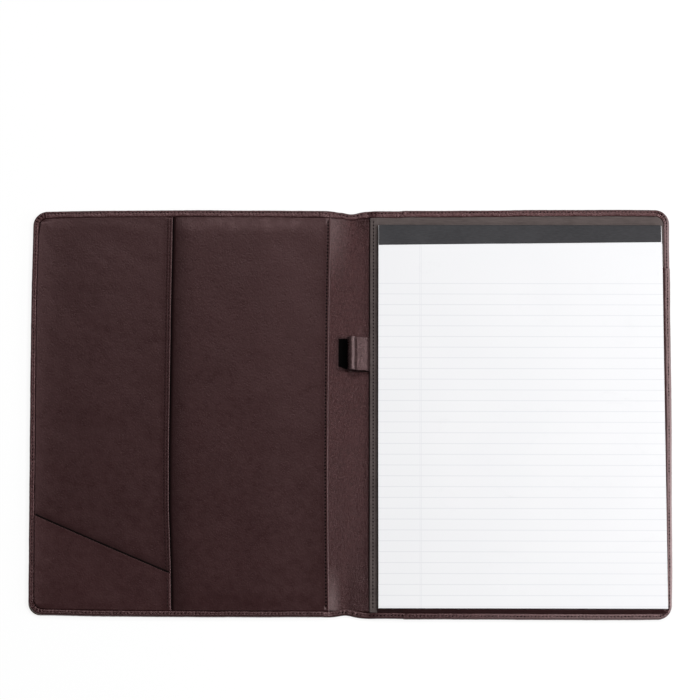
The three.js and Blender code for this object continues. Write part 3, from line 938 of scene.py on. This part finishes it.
xs = joined(spaced(-WIDE_IN, -139.2, 3.0), spaced(-139.2, -136.2, 0.5), spaced(-136.2, -128, 0.4), spaced(-128, -112, 1.3), spaced(-112, -30, 2.6), spaced(-30, -20.5, 1.2), spaced(-20.5, -17.4, 0.3), [-17.4, -17.2, -17.05, -16.9, -16.78, -16.68, -16.62, -16.6])
front_lining = panel("front_lining_leather", xs, ends_y(), front_place, front_top, lambda x, y: np.minimum(2.62 + 0 * x, front_top(x, y) - 0.25), mat_lining_front, True)
# painted highlight along the lining's edge beside the spine
rim(front_lining, lambda x, y: front_edge(y) - x < 0.6, mat_painted_highlight_light)
bend(front_lining)
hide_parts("front_lining")


# the card pocket's slanted mouth
CARD_A, CARD_B = (-237.6, -81.5), (-133.6, -126.5)


def mouth_y(x):
    return CARD_A[1] + (x - CARD_A[0]) * (CARD_B[1] - CARD_A[1]) / (CARD_B[0] - CARD_A[0])


# document pocket
def doc_top(x, y):
    n = inset(x, y)
    w = turned_width(x, y)
    lv = level(n, w, y)
    z = 3.58 + 0.78 * lv + 1.5 * lv * smooth(w, w + 4, 158.75 - np.abs(y)) * np.exp(-(np.maximum(x + 238.5, 0) / 8.0)) - 0.25 * smooth(-205, -150, x) * lv
    z = z + 0.12 * wobble(x, y, 30, 41.0) * smooth(w + 2, w + 14, n) + 0.04 * wobble(x, y, 8, 43.0) * smooth(w + 1, w + 5, n)
    # it dips towards the card pocket's mouth
    m = y - mouth_y(x)
    z = z - 0.50 * np.exp(-np.maximum(m, 0) / 3.2) * smooth(-2.5, 0.4, m) * lv
    d = pocket_edge(y) - x
    lift = smooth(w - 0.2, w + 2.5, n)
    z = z + lift * (0.42 * smooth(7, 1.0, d) - 0.12 * np.exp(-(((d - 1.9) / 0.5) ** 2)) - 0.08 * np.exp(-(((d - 3.9) / 0.6) ** 2)))
    return z - free_edge(d) * lift


def doc_bottom(x, y):
    n = inset(x, y)
    w = turned_width(x, y)
    d = pocket_edge(y) - x
    return np.minimum(3.42 + 0.35 * smooth(w, w + 4, n) * smooth(16, 0.5, d), doc_top(x, y) - 0.12)


def doc_place(X, Y):
    X = np.where(X > -150, -150 + (X + 150) / 14.0 * (pocket_edge(Y) + 150), X)
    return round_corners(X, Y)


xs = joined(spaced(-WIDE_IN, -235.5, 0.35), spaced(-235.5, -226, 0.9), spaced(-226, -150, 1.5), spaced(-150, -140.5, 1.2), spaced(-140.5, -136.6, 0.32), [-136.6, -136.45, -136.3, -136.18, -136.08, -136.02, -136.0])
ys = joined(spaced(-HALF_IN, -151, 0.35), spaced(-151, -76, 0.9), spaced(-76, 140, 2.4), spaced(140, 151, 0.9), spaced(151, HALF_IN, 0.35))
doc = panel("document_pocket_leather", xs, ys, doc_place, doc_top, doc_bottom, mat_pocket, True)
# painted highlight along the document pocket's free edge
rim(doc, lambda x, y: pocket_edge(y) - x < 0.6)
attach(doc, "front_cover")
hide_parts("document_pocket")

# card pocket
def card_place(X, Y):
    """X from the left seam to the pocket's free edge, Y from 0 at the foot to 1 at the mouth."""
    foot = -HALF_IN
    y = foot + Y * (mouth_y(X) - foot)
    e = pocket_edge(y) - 0.35
    x = np.where(X > -150, -150 + (X + 150) / 14.0 * (e + 150), X)
    y = foot + Y * (mouth_y(x) - foot)
    return round_corners(x, y, 1.9)


def card_top(x, y):
    n = inset(x, y)
    w = turned_width(x, y)
    in_w = smooth(w - 0.15, w + 0.5, n)
    m = mouth_y(x) - y
    d = pocket_edge(y) - 0.35 - x
    z = doc_top(x, np.minimum(y, mouth_y(x) - 2.5)) + mix(0.2, 0.72, in_w) + 0.08 * smooth(4.5, 0.5, m) * in_w
    z = z + 0.05 * wobble(x, y, 18, 47.0) * in_w
    return z - (free_edge(m, 0.25) + 0.40 * smooth(0.7, 0, d)) * mix(0.3, 1, in_w)


def card_bottom(x, y):
    m = mouth_y(x) - y
    return np.minimum(doc_top(x, y) + 0.05 + 0.10 * smooth(2.5, 0, m), card_top(x, y) - 0.08)


xs = joined(spaced(-WIDE_IN, -235.5, 0.4), spaced(-235.5, -226, 1.0), spaced(-226, -150, 2.4), spaced(-150, -138.5, 1.2), spaced(-138.5, -136.0, 0.4))
t = joined(spaced(0, 0.12, 0.011), spaced(0.12, 0.90, 0.035), spaced(0.90, 0.985, 0.012), 1 - np.array([0.015, 0.010, 0.006, 0.0035, 0.0018, 0.0006, 0.0]))
card = panel("card_pocket_leather", xs, t, card_place, card_top, card_bottom, mat_card, True)
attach(card, "front_cover")
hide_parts("card_pocket")



def shadow_line_strip(name, line, across, z_of, half, node_body):
    """Painted shadow line: a thin near-black strip that looks out beside a lip, standing for the shade in the gap under
    it.
    """
    line = np.asarray(line, float)
    d = np.gradient(line, axis=0)
    d /= np.hypot(d[:, 0], d[:, 1])[:, None]
    side = np.stack([d[:, 1], -d[:, 0]], -1)
    rows_o, rows_i = [], []
    for k, off in enumerate(across):
        off = off + 0.07 * wobble(np.arange(len(line)) * 1.0, 0 * line[:, 0], 3.0, 91.0) * (k == len(across) - 1)
        q = line + side * np.broadcast_to(off, (len(line),))[:, None]
        z = z_of(q[:, 0], q[:, 1])
        up = half[k]
        rows_o.append(np.column_stack([q, z + up]))
        rows_i.append(np.column_stack([q, z - 0.05]))
    o, i = np.array(rows_o).reshape(-1, 3), np.array(rows_i).reshape(-1, 3)
    v, f = thick(o, i, grid_faces(len(across), len(line), flip=True))
    ob = mesh_piece(name, v, f, mat_painted_shade, 50)
    if node_body in BLENDS:
        bend(ob)
    else:
        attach(ob, node_body)
    return ob


# painted shadow lines beside the document pocket's free edge and the card pocket's mouth
yy = spaced(152.0, -152.4, 1.5)
shadow_line_strip("document_pocket_shadow_line", np.stack([pocket_edge(yy), yy], -1), [0.85, 0.75, 0.4, -0.9][::-1], front_top, [0.16, 0.16, 0.12, 0.03], "front_cover")
xx = spaced(-239.4, -136.4, 1.2)
shadow_line_strip("card_pocket_shadow_line", np.stack([xx, mouth_y(xx)], -1), [-1.5, -1.35, -0.5, 0.9][::-1], doc_top, [0.14, 0.14, 0.10, 0.03], "front_cover")

# lining of the back cover, folded and stitched along the spine
STRIP = 15.0


def lining_top(x, y):
    n = inset(x, y)
    w = turned_width(x, y)
    z = 3.62 + 0.62 * level(n, w, y)
    # beside the spine the turned edge is lower, and the lining goes under it
    under = edge_height(x) - SKIN - 0.1
    z = mix(np.minimum(z, under), z, smooth(w - 0.1, w + 0.5, n))
    d = x - STRIP
    z = z + smooth(w, w + 3, n) * (0.06 * wobble(x, y, 9, 51.0) + 0.75 * smooth(6.4, 5.3, d) + 0.15 * smooth(4.4, 2.4, d) - 0.06 * np.exp(-(((d - 2.6) / 0.5) ** 2)))
    return z - free_edge(d, 0.6)


xs = joined([15.0, 15.02, 15.08, 15.18, 15.3, 15.45, 15.6], spaced(15.6, 23.6, 0.4), spaced(23.5, 226, 4.5), spaced(226, WIDE_IN, 1.1))
lining = panel("back_lining_cloth", xs, ends_y(), round_corners, lining_top, lambda x, y: np.minimum(2.72 + 0 * x, lining_top(x, y) - 0.25), mat_lining, True)
bend(lining)
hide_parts("back_lining")
# painted shadow lines along the grey strip's folded edge
for name, a, b in (("spine_lining_shadow_line_head", 153.5, 58.4), ("spine_lining_shadow_line_foot", 30.2, -153.5)):
    yy = spaced(a, b, 1.5)
    shadow_line_strip(name, np.stack([0 * yy + STRIP, yy], -1), [0.6, -0.3, -0.85, -0.95], lambda x, y: spine_floor(np.minimum(x, 15.0), y), [0.03, 0.12, 0.16, 0.16], "back")


# slot panel that holds the pad's card back
def slot_top(x, y):
    fx = smooth(240.0, 236.9, x)
    fy = smooth(-155.6, -152.2, y)
    z = mix(3.78, 6.38, np.minimum(fx, fy))
    m = 113 - y
    return z - free_edge(m, 0.3) * np.minimum(fx, fy) - free_edge(x - 40, 0.3) * np.minimum(fx, fy)


def slot_bottom(x, y):
    fx = smooth(239.6, 236.6, x)
    fy = smooth(-155.2, -151.9, y)
    return np.minimum(mix(3.66, 5.78, np.minimum(fx, fy)), slot_top(x, y) - 0.1)


xs = joined([40, 40.03, 40.1, 40.2, 40.35], spaced(40.35, 228, 6.0), spaced(228, WIDE_IN, 0.5))
ys = joined(spaced(-HALF_IN, -146, 0.5), spaced(-146, 112.6, 6.0), [112.6, 112.8, 112.9, 112.97, 113])
slot_panel = panel("slot_panel_leather", xs, ys, lambda X, Y: round_corners(X, Y, 1.9), slot_top, slot_bottom, mat_inner, True)
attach(slot_panel, "back_cover")
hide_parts("pad_slot_panel")


def foot_band():
    """The slot's leather goes on along the foot to the stitched strip."""
    xs = joined([20.9, 20.95, 21.1, 21.3], spaced(21.3, 40.2, 1.0), [40.2, 40.35, 40.4])
    ys = joined(spaced(-HALF_IN, -153.4, 0.35), [-153.4, -153.0, -152.6, -152.2, -151.74])
    top = lambda x, y: mix(3.74, 6.42, smooth(-155.2, -152.1, y)) + 0.05 * wobble(x, y, 6, 57.0) - free_edge(x - 20.9, 0.3)
    ob = panel("slot_foot_band", xs, ys, lambda X, Y: (X, Y), top, lambda x, y: np.minimum(mix(3.6, 4.9, smooth(-154.8, -152.1, y)), top(x, y) - 0.12), mat_foot, True)
    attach(ob, "back_cover")


foot_band()


# foam over the boards
def foam(name, x0, x1, node, body):
    xs = joined([x0, x0 + 0.15], spaced(x0 + 0.15, x1 - 0.15, 6.0), [x1 - 0.15, x1])
    half = HALF_H - 2.5
    ys = joined([-half, -half + 0.15], spaced(-half + 0.15, half - 0.15, 6.0), [half - 0.15, half])
    crown = lambda x, y: 2.60 - 0.14 * smooth(6, 0, np.minimum(np.minimum(x - x0, x1 - x), half - np.abs(y))) + 0.02 * wobble(x, y, 14, 61.0)
    ob = panel(name, xs, ys, lambda X, Y: round_corners(X, Y, 2.5), crown, lambda x, y: 2.2 + 0 * x, mat_foam, True)
    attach(ob, body)
    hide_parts(node)


foam("foam_front", -HALF_W + 2.5, -18.0, "front_padding", "front_cover")
foam("foam_back", 18.5, HALF_W - 2.5, "back_padding", "back_cover")


# ---- stitches ----
def stitch_mesh(points, dirs, ups, length=1.75, width=0.42, height=0.30):
    """Small thread capsules, each at a point, along a direction, standing up by its normal."""
    verts, faces = [], []
    prof = [(-0.5, 0.0), (-0.46, 0.55), (-0.3, 0.92), (0.0, 1.0), (0.3, 0.92), (0.46, 0.55), (0.5, 0.0)]
    ang = [k * math.pi / 3 for k in range(6)]
    for p, d, u in zip(points, dirs, ups):
        d = np.asarray(d, float) / np.linalg.norm(d)
        u = np.asarray(u, float)
        side = np.cross(u, d)
        base = len(verts)
        verts.append(p + d * prof[0][0] * length)
        for a, r in prof[1:-1]:
            for t in ang:
                verts.append(p + d * a * length + side * (math.cos(t) * r * width / 2) + u * (math.sin(t) * r * height / 2))
        verts.append(p + d * prof[-1][0] * length)
        rings = len(prof) - 2
        for k in range(6):
            faces.append((base, base + 1 + (k + 1) % 6, base + 1 + k))
        for r in range(rings - 1):
            for k in range(6):
                a = base + 1 + r * 6 + k
                b = base + 1 + r * 6 + (k + 1) % 6
                faces.append((a, b, b + 6, a + 6))
        last = base + 1 + (rings - 1) * 6
        for k in range(6):
            faces.append((last + k, last + (k + 1) % 6, base + 1 + rings * 6))
    return np.array(verts), faces


def stitch_row(xy, z_of, length=1.75, width=0.42, height=0.30, slant=0.0, proud=0.06):
    """Stitches along a polyline of points, one every STITCH millimetres."""
    xy = np.asarray(xy, float)
    s = np.concatenate([[0], np.cumsum(np.hypot(*np.diff(xy, axis=0).T))])
    at = np.arange(STITCH * 0.5, s[-1], STITCH)
    x, y = np.interp(at, s, xy[:, 0]), np.interp(at, s, xy[:, 1])
    xa, ya = np.interp(at - 0.4, s, xy[:, 0]), np.interp(at - 0.4, s, xy[:, 1])
    xb, yb = np.interp(at + 0.4, s, xy[:, 0]), np.interp(at + 0.4, s, xy[:, 1])
    z = z_of(x, y)
    pts = np.stack([x, y, z + proud], -1)
    d = np.stack([xb - xa, yb - ya, z_of(xb, yb) - z_of(xa, ya)], -1)
    if slant:
        c, n = math.cos(slant), math.sin(slant)
        d = np.stack([d[:, 0] * c - d[:, 1] * n, d[:, 0] * n + d[:, 1] * c, d[:, 2]], -1)
    up = np.tile([0, 0, 1.0], (len(pts), 1))
    return stitch_mesh(pts, d, up, length, width, height)


def hole_row(xy, z_of, size=0.75, proud=0.02):
    """The needle holes between the stitches of stitch_row, as small near-black capsules: painted shade of the pits."""
    xy = np.asarray(xy, float)
    s = np.concatenate([[0], np.cumsum(np.hypot(*np.diff(xy, axis=0).T))])
    at = np.arange(STITCH, s[-1], STITCH)
    x, y = np.interp(at, s, xy[:, 0]), np.interp(at, s, xy[:, 1])
    d = np.stack([np.interp(at + 0.4, s, xy[:, 0]) - x, np.interp(at + 0.4, s, xy[:, 1]) - y, 0 * x], -1)
    return stitch_mesh(np.stack([x, y, z_of(x, y) + proud], -1), d, np.tile([0, 0, 1.0], (len(x), 1)), 1.35, size, 0.2)


def rows_to_piece(name, rows, material=None):
    verts, faces, off = [], [], 0
    for v, f in rows:
        verts.append(v)
        faces += [tuple(i + off for i in g) for g in f]
        off += len(v)
    return mesh_piece(name, np.vstack(verts), faces, material or mat_thread, 60)


def border_points(p, nrm, s, h, shift, kind, first=0.5):
    """Stitches of a cover's turned edge: centres between the holes, or the holes (first 0)."""
    at = np.arange(STITCH * first + STITCH, s[-1] - STITCH, STITCH)
    cols = np.clip(np.searchsorted(s, at), 1, len(s) - 1)
    f = (at - s[cols - 1]) / (s[cols] - s[cols - 1])
    mid = p + nrm * (2.12 + shift)[:, None]
    pos = mid[cols - 1] * (1 - f)[:, None] + mid[cols] * f[:, None]
    z = h[cols - 1] * (1 - f) + h[cols] * f
    d = mid[cols] - mid[cols - 1]
    return np.column_stack([pos, z - 0.17]), np.column_stack([d, h[cols] - h[cols - 1]])


for name, data, key in (("border_stitches_front", (pf, nf, sf, hf, shf, kf), "front"), ("border_stitches_back", (pb, nb, sb, hb, shb, kb), "back")):
    pts, d = border_points(*data)
    v, f = stitch_mesh(pts + [0, 0, 0.10], d, np.tile([0, 0, 1.0], (len(pts), 1)), 1.5, 0.62, 0.30)
    ob = mesh_piece(name, v, f, mat_thread_border, 60)
    bend(ob)
    # needle holes as near-black capsules: painted shade of the pits
    pts, d = border_points(*data, first=0.0)
    v, f = stitch_mesh(pts + [0, 0, 0.02], d, np.tile([0, 0, 1.0], (len(pts), 1)), 1.35, 1.1 if key == "back" else 0.85, 0.3)
    ob = mesh_piece(name.replace("stitches", "holes"), v, f, mat_painted_shade, 60)
    bend(ob)

for name, x0, x1, key in (("spine_stitches_front", -CUT, 0, "spine_front"), ("spine_stitches_back", 0, CUT, "spine_back")):
    rows, holes = [], []
    for top in (True, False):
        sgn = 1 if top else -1
        at = (np.arange(-8, 8) + 0.5) * STITCH
        at = at[(at > x0 + 0.2) & (at < x1 - 0.2)]
        y = sgn * (HALF_H - 2.12 - edge_shift(at, top))
        z = edge_height(at) - 0.07
        pts = np.stack([at, y, z], -1)
        rows.append(stitch_mesh(pts, np.tile([1.0, 0, 0], (len(at), 1)), np.tile([0, 0, 1.0], (len(at), 1)), 1.5, 0.62, 0.30))
        # needle holes as near-black capsules: painted shade of the pits
        at = np.arange(-8, 9) * STITCH
        at = at[(at > x0 + 0.2) & (at < x1 - 0.2)]
        pts = np.stack([at, sgn * (HALF_H - 2.12 - edge_shift(at, top)), edge_height(at) - 0.02], -1)
        holes.append(stitch_mesh(pts, np.tile([1.0, 0, 0], (len(at), 1)), np.tile([0, 0, 1.0], (len(at), 1)), 1.35, 1.1, 0.26))
    ob = rows_to_piece(name, rows, mat_thread_border)
    bend(ob)
    ob = rows_to_piece(name.replace("stitches", "holes"), holes, mat_painted_shade)
    bend(ob)

yy = spaced(-153.0, 152.0, 1.0)
up, low = yy[yy > -124], yy[yy < -129]
doc_rows = [(np.stack([pocket_edge(up) - 1.9, up], -1), doc_top), (np.stack([pocket_edge(up) - 3.9, up], -1), doc_top), (np.stack([pocket_edge(low) - 2.6, low], -1), card_top)]
front_row = np.stack([front_edge(yy) - 2.3, yy], -1)
rows = [
    stitch_row(*doc_rows[0], 1.5, 0.5, 0.26),
    stitch_row(*doc_rows[1], 1.4, 0.42, 0.2),
    stitch_row(*doc_rows[2], 1.5, 0.5, 0.24),
]
pocket_stitches = rows_to_piece("pocket_stitches", rows)
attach(pocket_stitches, "front_cover")
holes = rows_to_piece("pocket_holes", [hole_row(*doc_rows[0], 0.42), hole_row(*doc_rows[1], 0.34), hole_row(*doc_rows[2], 0.5)], mat_painted_shade)
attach(holes, "front_cover")
for name, row, material in (("front_row_stitches", stitch_row(front_row, front_top, 1.5, 0.75, 0.34, slant=0.35, proud=0.06), mat_thread), ("front_row_holes", hole_row(front_row, front_top, 1.35, 0.10), mat_painted_shade)):
    ob = rows_to_piece(name, [row], material)
    bend(ob)
strip_row = np.stack([0 * yy + 17.6, yy], -1)
strip_stitches = rows_to_piece("strip_stitches", [stitch_row(strip_row, lining_top, 1.5, 0.6, 0.3)], mat_thread_grey)
bend(strip_stitches)
holes = rows_to_piece("strip_holes", [hole_row(strip_row, lining_top, 1.0, 0.08)], mat_painted_shade)
bend(holes)


# ---- pen loop ----
def loop_section():
    """The strip's path in X and Z: from its root under the lining, over the crest, round and back beneath."""
    pts = [(15.6, 3.12), (15.0, 3.6), (14.6, 4.4), (14.1, 5.5), (13.4, 6.6), (12.2, 7.25), (10.0, 7.65), (7.6, 7.95), (6.2, 8.1), (5.3, 8.3), (4.7, 8.8), (4.1, 9.7), (3.2, 10.5), (2.2, 10.98), (1.3, 11.14)]
    cx, cz, rx, rz = 1.3, 6.8, 2.94, 4.34
    for a in np.linspace(95, 270, 17):
        pts.append((cx + rx * math.cos(math.radians(a)), cz + rz * math.sin(math.radians(a))))
    pts += [(3.0, 2.47), (5.5, 2.5), (8.5, 2.52), (11.5, 2.54), (13.6, 2.54), (15.4, 2.54)]
    pts = np.array(pts, float)
    s = np.concatenate([[0], np.cumsum(np.hypot(*np.diff(pts, axis=0).T))])
    t = spaced(0, s[-1], 0.42)
    q = np.stack([np.interp(t, s, pts[:, 0]), np.interp(t, s, pts[:, 1])], -1)
    for _ in range(4):
        q[1:-1] = 0.25 * q[:-2] + 0.5 * q[1:-1] + 0.25 * q[2:]
    return q


def pen_loop():
    q = loop_section()
    d = np.gradient(q, axis=0)
    d /= np.hypot(d[:, 0], d[:, 1])[:, None]
    out = np.stack([d[:, 1], -d[:, 0]], -1)  # outward on the way round
    y0, y1 = 31.2, 57.5
    rim = [0.0, 0.03, 0.10, 0.22, 0.38, 0.6, 0.9]
    ys = np.concatenate([y0 + np.array(rim), spaced(y0 + 1.4, y1 - 1.4, 0.9), y1 - np.array(rim[::-1])])
    edge = np.minimum(ys - y0, y1 - ys)
    r = 0.36
    bead = 0.10 * np.exp(-((edge - 0.55) / 0.35) ** 2) - 0.12 * np.exp(-((edge - 1.35) / 0.35) ** 2)
    half = np.where(edge < r, np.sqrt(np.maximum(r * r - (r - edge) ** 2, 0.0)), r)
    pinch = smooth(0, 6, np.arange(len(q)) * 0.42)
    t0 = 0.36
    O, I = [], []
    for k, (p, o) in enumerate(zip(q, out)):
        uneven = 0.05 * wobble(ys * 0 + k * 0.42, ys, (3.0, 6.0), 71.0)
        a = p[None, :] + o[None, :] * (half + bead + uneven)[:, None]
        b = p[None, :] - o[None, :] * np.minimum(half, t0)[:, None]
        O.append(np.stack([a[:, 0], ys, a[:, 1]], -1))
        I.append(np.stack([b[:, 0], ys, b[:, 1]], -1))
    O, I = np.array(O).reshape(-1, 3), np.array(I).reshape(-1, 3)
    v, f = thick(O, I, grid_faces(len(q), len(ys), flip=True))
    ob = mesh_piece("pen_loop_strap", v, f, mat_loop, 50)
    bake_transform(ob)
    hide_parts("pen_loop")


pen_loop()


def loop_shadow_patch():
    """Near-black pile patch on the spine beside and under the loop: painted shadow, put where the loop's deep shadow
    falls.
    """
    xs = joined([-8.9, -8.8, -8.6], spaced(-8.6, -1.3, 0.5), [-1.3, -1.1, -1.0])
    ys = joined([33.6, 33.7, 33.9], spaced(33.9, 57.1, 0.8), [57.1, 57.3, 57.4])
    X, Y = np.meshgrid(xs, ys, indexing="ij")
    rim = np.minimum(np.minimum(X + 8.9, -1.0 - X), np.minimum(Y - 33.6, 57.4 - Y))
    Y = Y + 2.0 * smooth(-3.0, -8.9, X) * smooth(46, 33.6, Y)
    Z = spine_floor(X, Y)
    o = np.stack([X, Y, Z + 0.06 + 0.16 * smooth(0, 0.25, rim)], -1).reshape(-1, 3)
    i = np.stack([X, Y, Z - 0.1], -1).reshape(-1, 3)
    v, f = thick(o, i, grid_faces(len(xs), len(ys), flip=True))
    ob = mesh_piece("loop_shadow_patch", v, f, mat_shadow_patch, 40)
    bend(ob)


loop_shadow_patch()


# ---- writing pad ----
PAD_X0, PAD_X1, PAD_Y0, PAD_Y1 = 21.5, 237.4, -152.25, 145.6


def page_place(X, Y):
    """The sheets widen by a hair towards the foot, as they lie fanned."""
    t = (X - PAD_X0) / (PAD_X1 - PAD_X0)
    out = np.interp(Y, [-153, -130, 57, 130, 146], [1.5, 1.4, 0.9, 0.85, 0.35])
    return X + out * t + 0.3 * smooth(-20, -140, Y) * (1 - t), Y


def pad_block():
    """The block of sheets: thin leaves, a few of them a hair out of line at the free edges."""
    rng = np.random.default_rng(7)
    leaves = 20
    z0, z1 = 5.78, 8.62
    verts, faces = [], []
    for k in range(leaves):
        t = k / (leaves - 1)
        a = mix(z0, z1, k / leaves)
        b = mix(z0, z1, (k + 1) / leaves) - 0.022
        jx, jy, j0 = rng.normal(0, 0.07), rng.normal(0, 0.10), rng.normal(0, 0.05)
        fan = 0.35 * (1 - t) * 0.6
        x0, x1 = PAD_X0 + j0 + 0.05, PAD_X1 + jx - 0.05
        y0, y1 = PAD_Y0 + abs(jy), PAD_Y1 - 0.35 * abs(2 * t - 1)
        xs = joined([x0, x0 + 1], spaced(x0 + 1, x1 - 1, 24), [x1 - 1, x1])
        ys = joined([y0, y0 + 1], spaced(y0 + 1, 104, 24), spaced(104, 120, 2), [120, y1])
        X, Y = np.meshgrid(xs, ys, indexing="ij")
        # above the slot panel the leaves lie over it, and at the head they come together
        low = mix(6.52, 5.80, smooth(108, 120, Y))
        za = low + (a - z0) / (z1 - z0) * (z1 - low)
        zb = low + (b - z0) / (z1 - z0) * (z1 - low)
        X, Y = page_place(X, Y)
        X = X - fan * smooth(60, -150, Y) * smooth(60, 237, X) * 0.5
        o = np.stack([X, Y, zb], -1).reshape(-1, 3)
        i = np.stack([X, Y, za], -1).reshape(-1, 3)
        v, f = thick(o, i, grid_faces(len(xs), len(ys), flip=True))
        faces += [tuple(q + len(verts) for q in g) for g in f]
        verts += v.tolist()
    ob = mesh_piece("pad_leaves", np.array(verts), faces, mat_block, 30, drawn=False)
    # the next sheet is ruled too
    ob.data.materials.append(mat_page)
    for poly in ob.data.polygons:
        if poly.normal.z > 0.9 and poly.center.z > 8.5 * MM:
            poly.material_index = 1
    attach(ob, "pad")
    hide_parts("pad_sheets")


pad_block()


def top_sheet():
    xs = joined([PAD_X0, PAD_X0 + 0.4], spaced(PAD_X0 + 0.4, PAD_X1 - 0.4, 4.0), [PAD_X1 - 0.4, PAD_X1])
    ys = joined([PAD_Y0, PAD_Y0 + 0.4], spaced(PAD_Y0 + 0.4, 130.4, 4.0), [130.4, 130.8])
    # faint swell of a sheet that lies on others, and the least lift at its free corners
    lift = lambda x, y: 8.70 + 0.10 * smooth(0.0, 1.0, (x - PAD_X0) / 216) * smooth(-60, -152, y) + 0.05 * (wobble(x, y, 70, 81.0) + 0.4) * smooth(130, 100, y)
    ob = panel("page", xs, ys, page_place, lambda x, y: lift(x, y) + 0.13, lift, mat_page, True, drawn=False)
    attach(ob, "top_sheet")
    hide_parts("top_sheet")


top_sheet()


def binding_tape():
    """Tape folded over the head of the pad, from a straight edge on the front to one on the back."""
    x0, x1 = PAD_X0 + 0.25, PAD_X1 + 0.1
    xs = joined([x0, x0 + 0.2], spaced(x0 + 0.2, x1 - 0.2, 2.4), [x1 - 0.2, x1])
    edge = lambda x: 129.75 + (x - x0) / (x1 - x0) * 2.6
    outer, inner = [], []
    for x in xs:
        ya = edge(x)
        ridge = 0.16 * math.exp(-((x - x0 - 2.0) / 0.5) ** 2)
        pts = [(ya, 8.86), (ya + 0.02, 8.97), (ya + 0.5, 9.0), (ya + 4, 9.02), (ya + 9, 9.02), (144.2, 8.98)]
        cy = 144.5
        pts += [(cy + 1.5 * math.sin(a), 7.45 + 1.5 * math.cos(a)) for a in np.linspace(0.2, math.pi / 2, 7)]
        pts += [(146.06, 7.1), (146.08, 6.8), (146.06, 6.4)]
        pts += [(cy + 1.5 * math.sin(a), 6.1 + 1.5 * math.cos(a)) for a in np.linspace(math.pi / 2 + 0.1, math.pi, 6)]
        pts += [(140, 4.6), (136, 4.6), (133.2, 4.62), (133.0, 4.7)]
        pts = np.array(pts, float)
        pts[1:12, 1] += ridge + 0.025 * noise.noise((x / 9.0, 0.0, 5.0))
        d = np.gradient(pts, axis=0)
        d /= np.maximum(np.hypot(d[:, 0], d[:, 1]), 1e-6)[:, None]
        nrm = np.stack([-d[:, 1], d[:, 0]], -1)  # outward: up on the front
        ins = pts - nrm * 0.13
        ins[0] = (ya, 8.84)
        outer.append(np.column_stack([np.full(len(pts), x), pts[:, 0], pts[:, 1]]))
        inner.append(np.column_stack([np.full(len(pts), x), ins[:, 0], ins[:, 1]]))
    m = len(outer[0])
    v, f = thick(np.array(outer).reshape(-1, 3), np.array(inner).reshape(-1, 3), grid_faces(len(xs), m))
    ob = mesh_piece("tape_wrap", v, f, mat_tape, 35, drawn=False)
    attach(ob, "pad")
    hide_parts("pad_binding_tape")


binding_tape()

for node in ("front_stiffener_board", "back_stiffener_board"):
    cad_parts[node].data.materials.clear()
    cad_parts[node].data.materials.append(mat_board)
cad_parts["pad_backing_board"].data.materials.clear()
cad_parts["pad_backing_board"].data.materials.append(mat_backing)

# ---- floor, light and camera ----
scene = bpy.context.scene
scene.view_settings.view_transform = "Standard"
scene.view_settings.look = "None"
scene.view_settings.exposure = 0.0
scene.view_settings.gamma = 1.0


def floor():
    n = Nodes("floor_white")
    n.finish((0.16, 0.16, 0.16), 0.9, None, 0.0)
    n.bsdf.inputs["Emission Color"].default_value = (1, 1, 1, 1)
    n.bsdf.inputs["Emission Strength"].default_value = 0.86
    me = bpy.data.meshes.new("floor")
    r = 4.0
    me.from_pydata([(-r, -r, 0), (r, -r, 0), (r, r, 0), (-r, r, 0)], [], [(0, 1, 2, 3)])
    me.materials.append(n.mat)
    ob = bpy.data.objects.new("floor", me)
    ob.location.z = -0.0002
    scene.collection.objects.link(ob)


floor()

world = bpy.data.worlds.new("studio")
world.use_nodes = True
world.node_tree.nodes["Background"].inputs["Color"].default_value = (1, 1, 1, 1)
world.node_tree.nodes["Background"].inputs["Strength"].default_value = 0.155
scene.world = world


def area_light(name, loc, target, size, power, color=(1, 1, 1)):
    li = bpy.data.lights.new(name, "AREA")
    li.shape = "RECTANGLE"
    li.size, li.size_y = size
    li.energy = power
    li.color = color
    ob = bpy.data.objects.new(name, li)
    ob.location = loc
    ob.rotation_euler = (Vector(target) - Vector(loc)).to_track_quat("-Z", "Y").to_euler()
    scene.collection.objects.link(ob)
    return ob


area_light("key", (1.52, 0.05, 2.28), (0, 0, 0), (0.7, 0.7), 37.5)
area_light("overhead", (0.2, 1.34, 2.3), (0, 0, 0), (1.4, 0.8), 25)
area_light("side", (1.15, -0.20, 0.58), (0, 0, 0), (0.5, 0.4), 4.4)

camera = bpy.data.cameras.new("camera")
camera.sensor_width = 36.0
camera.lens = 237.13
camera.clip_end = 50
cam = bpy.data.objects.new("camera", camera)
cam.location = (0.0153, -0.7948, 3.4103)
cam.rotation_euler = (math.radians(13.9), math.radians(0.22), math.radians(0.16))
scene.collection.objects.link(cam)
scene.camera = cam

bpy.context.view_layer.update()
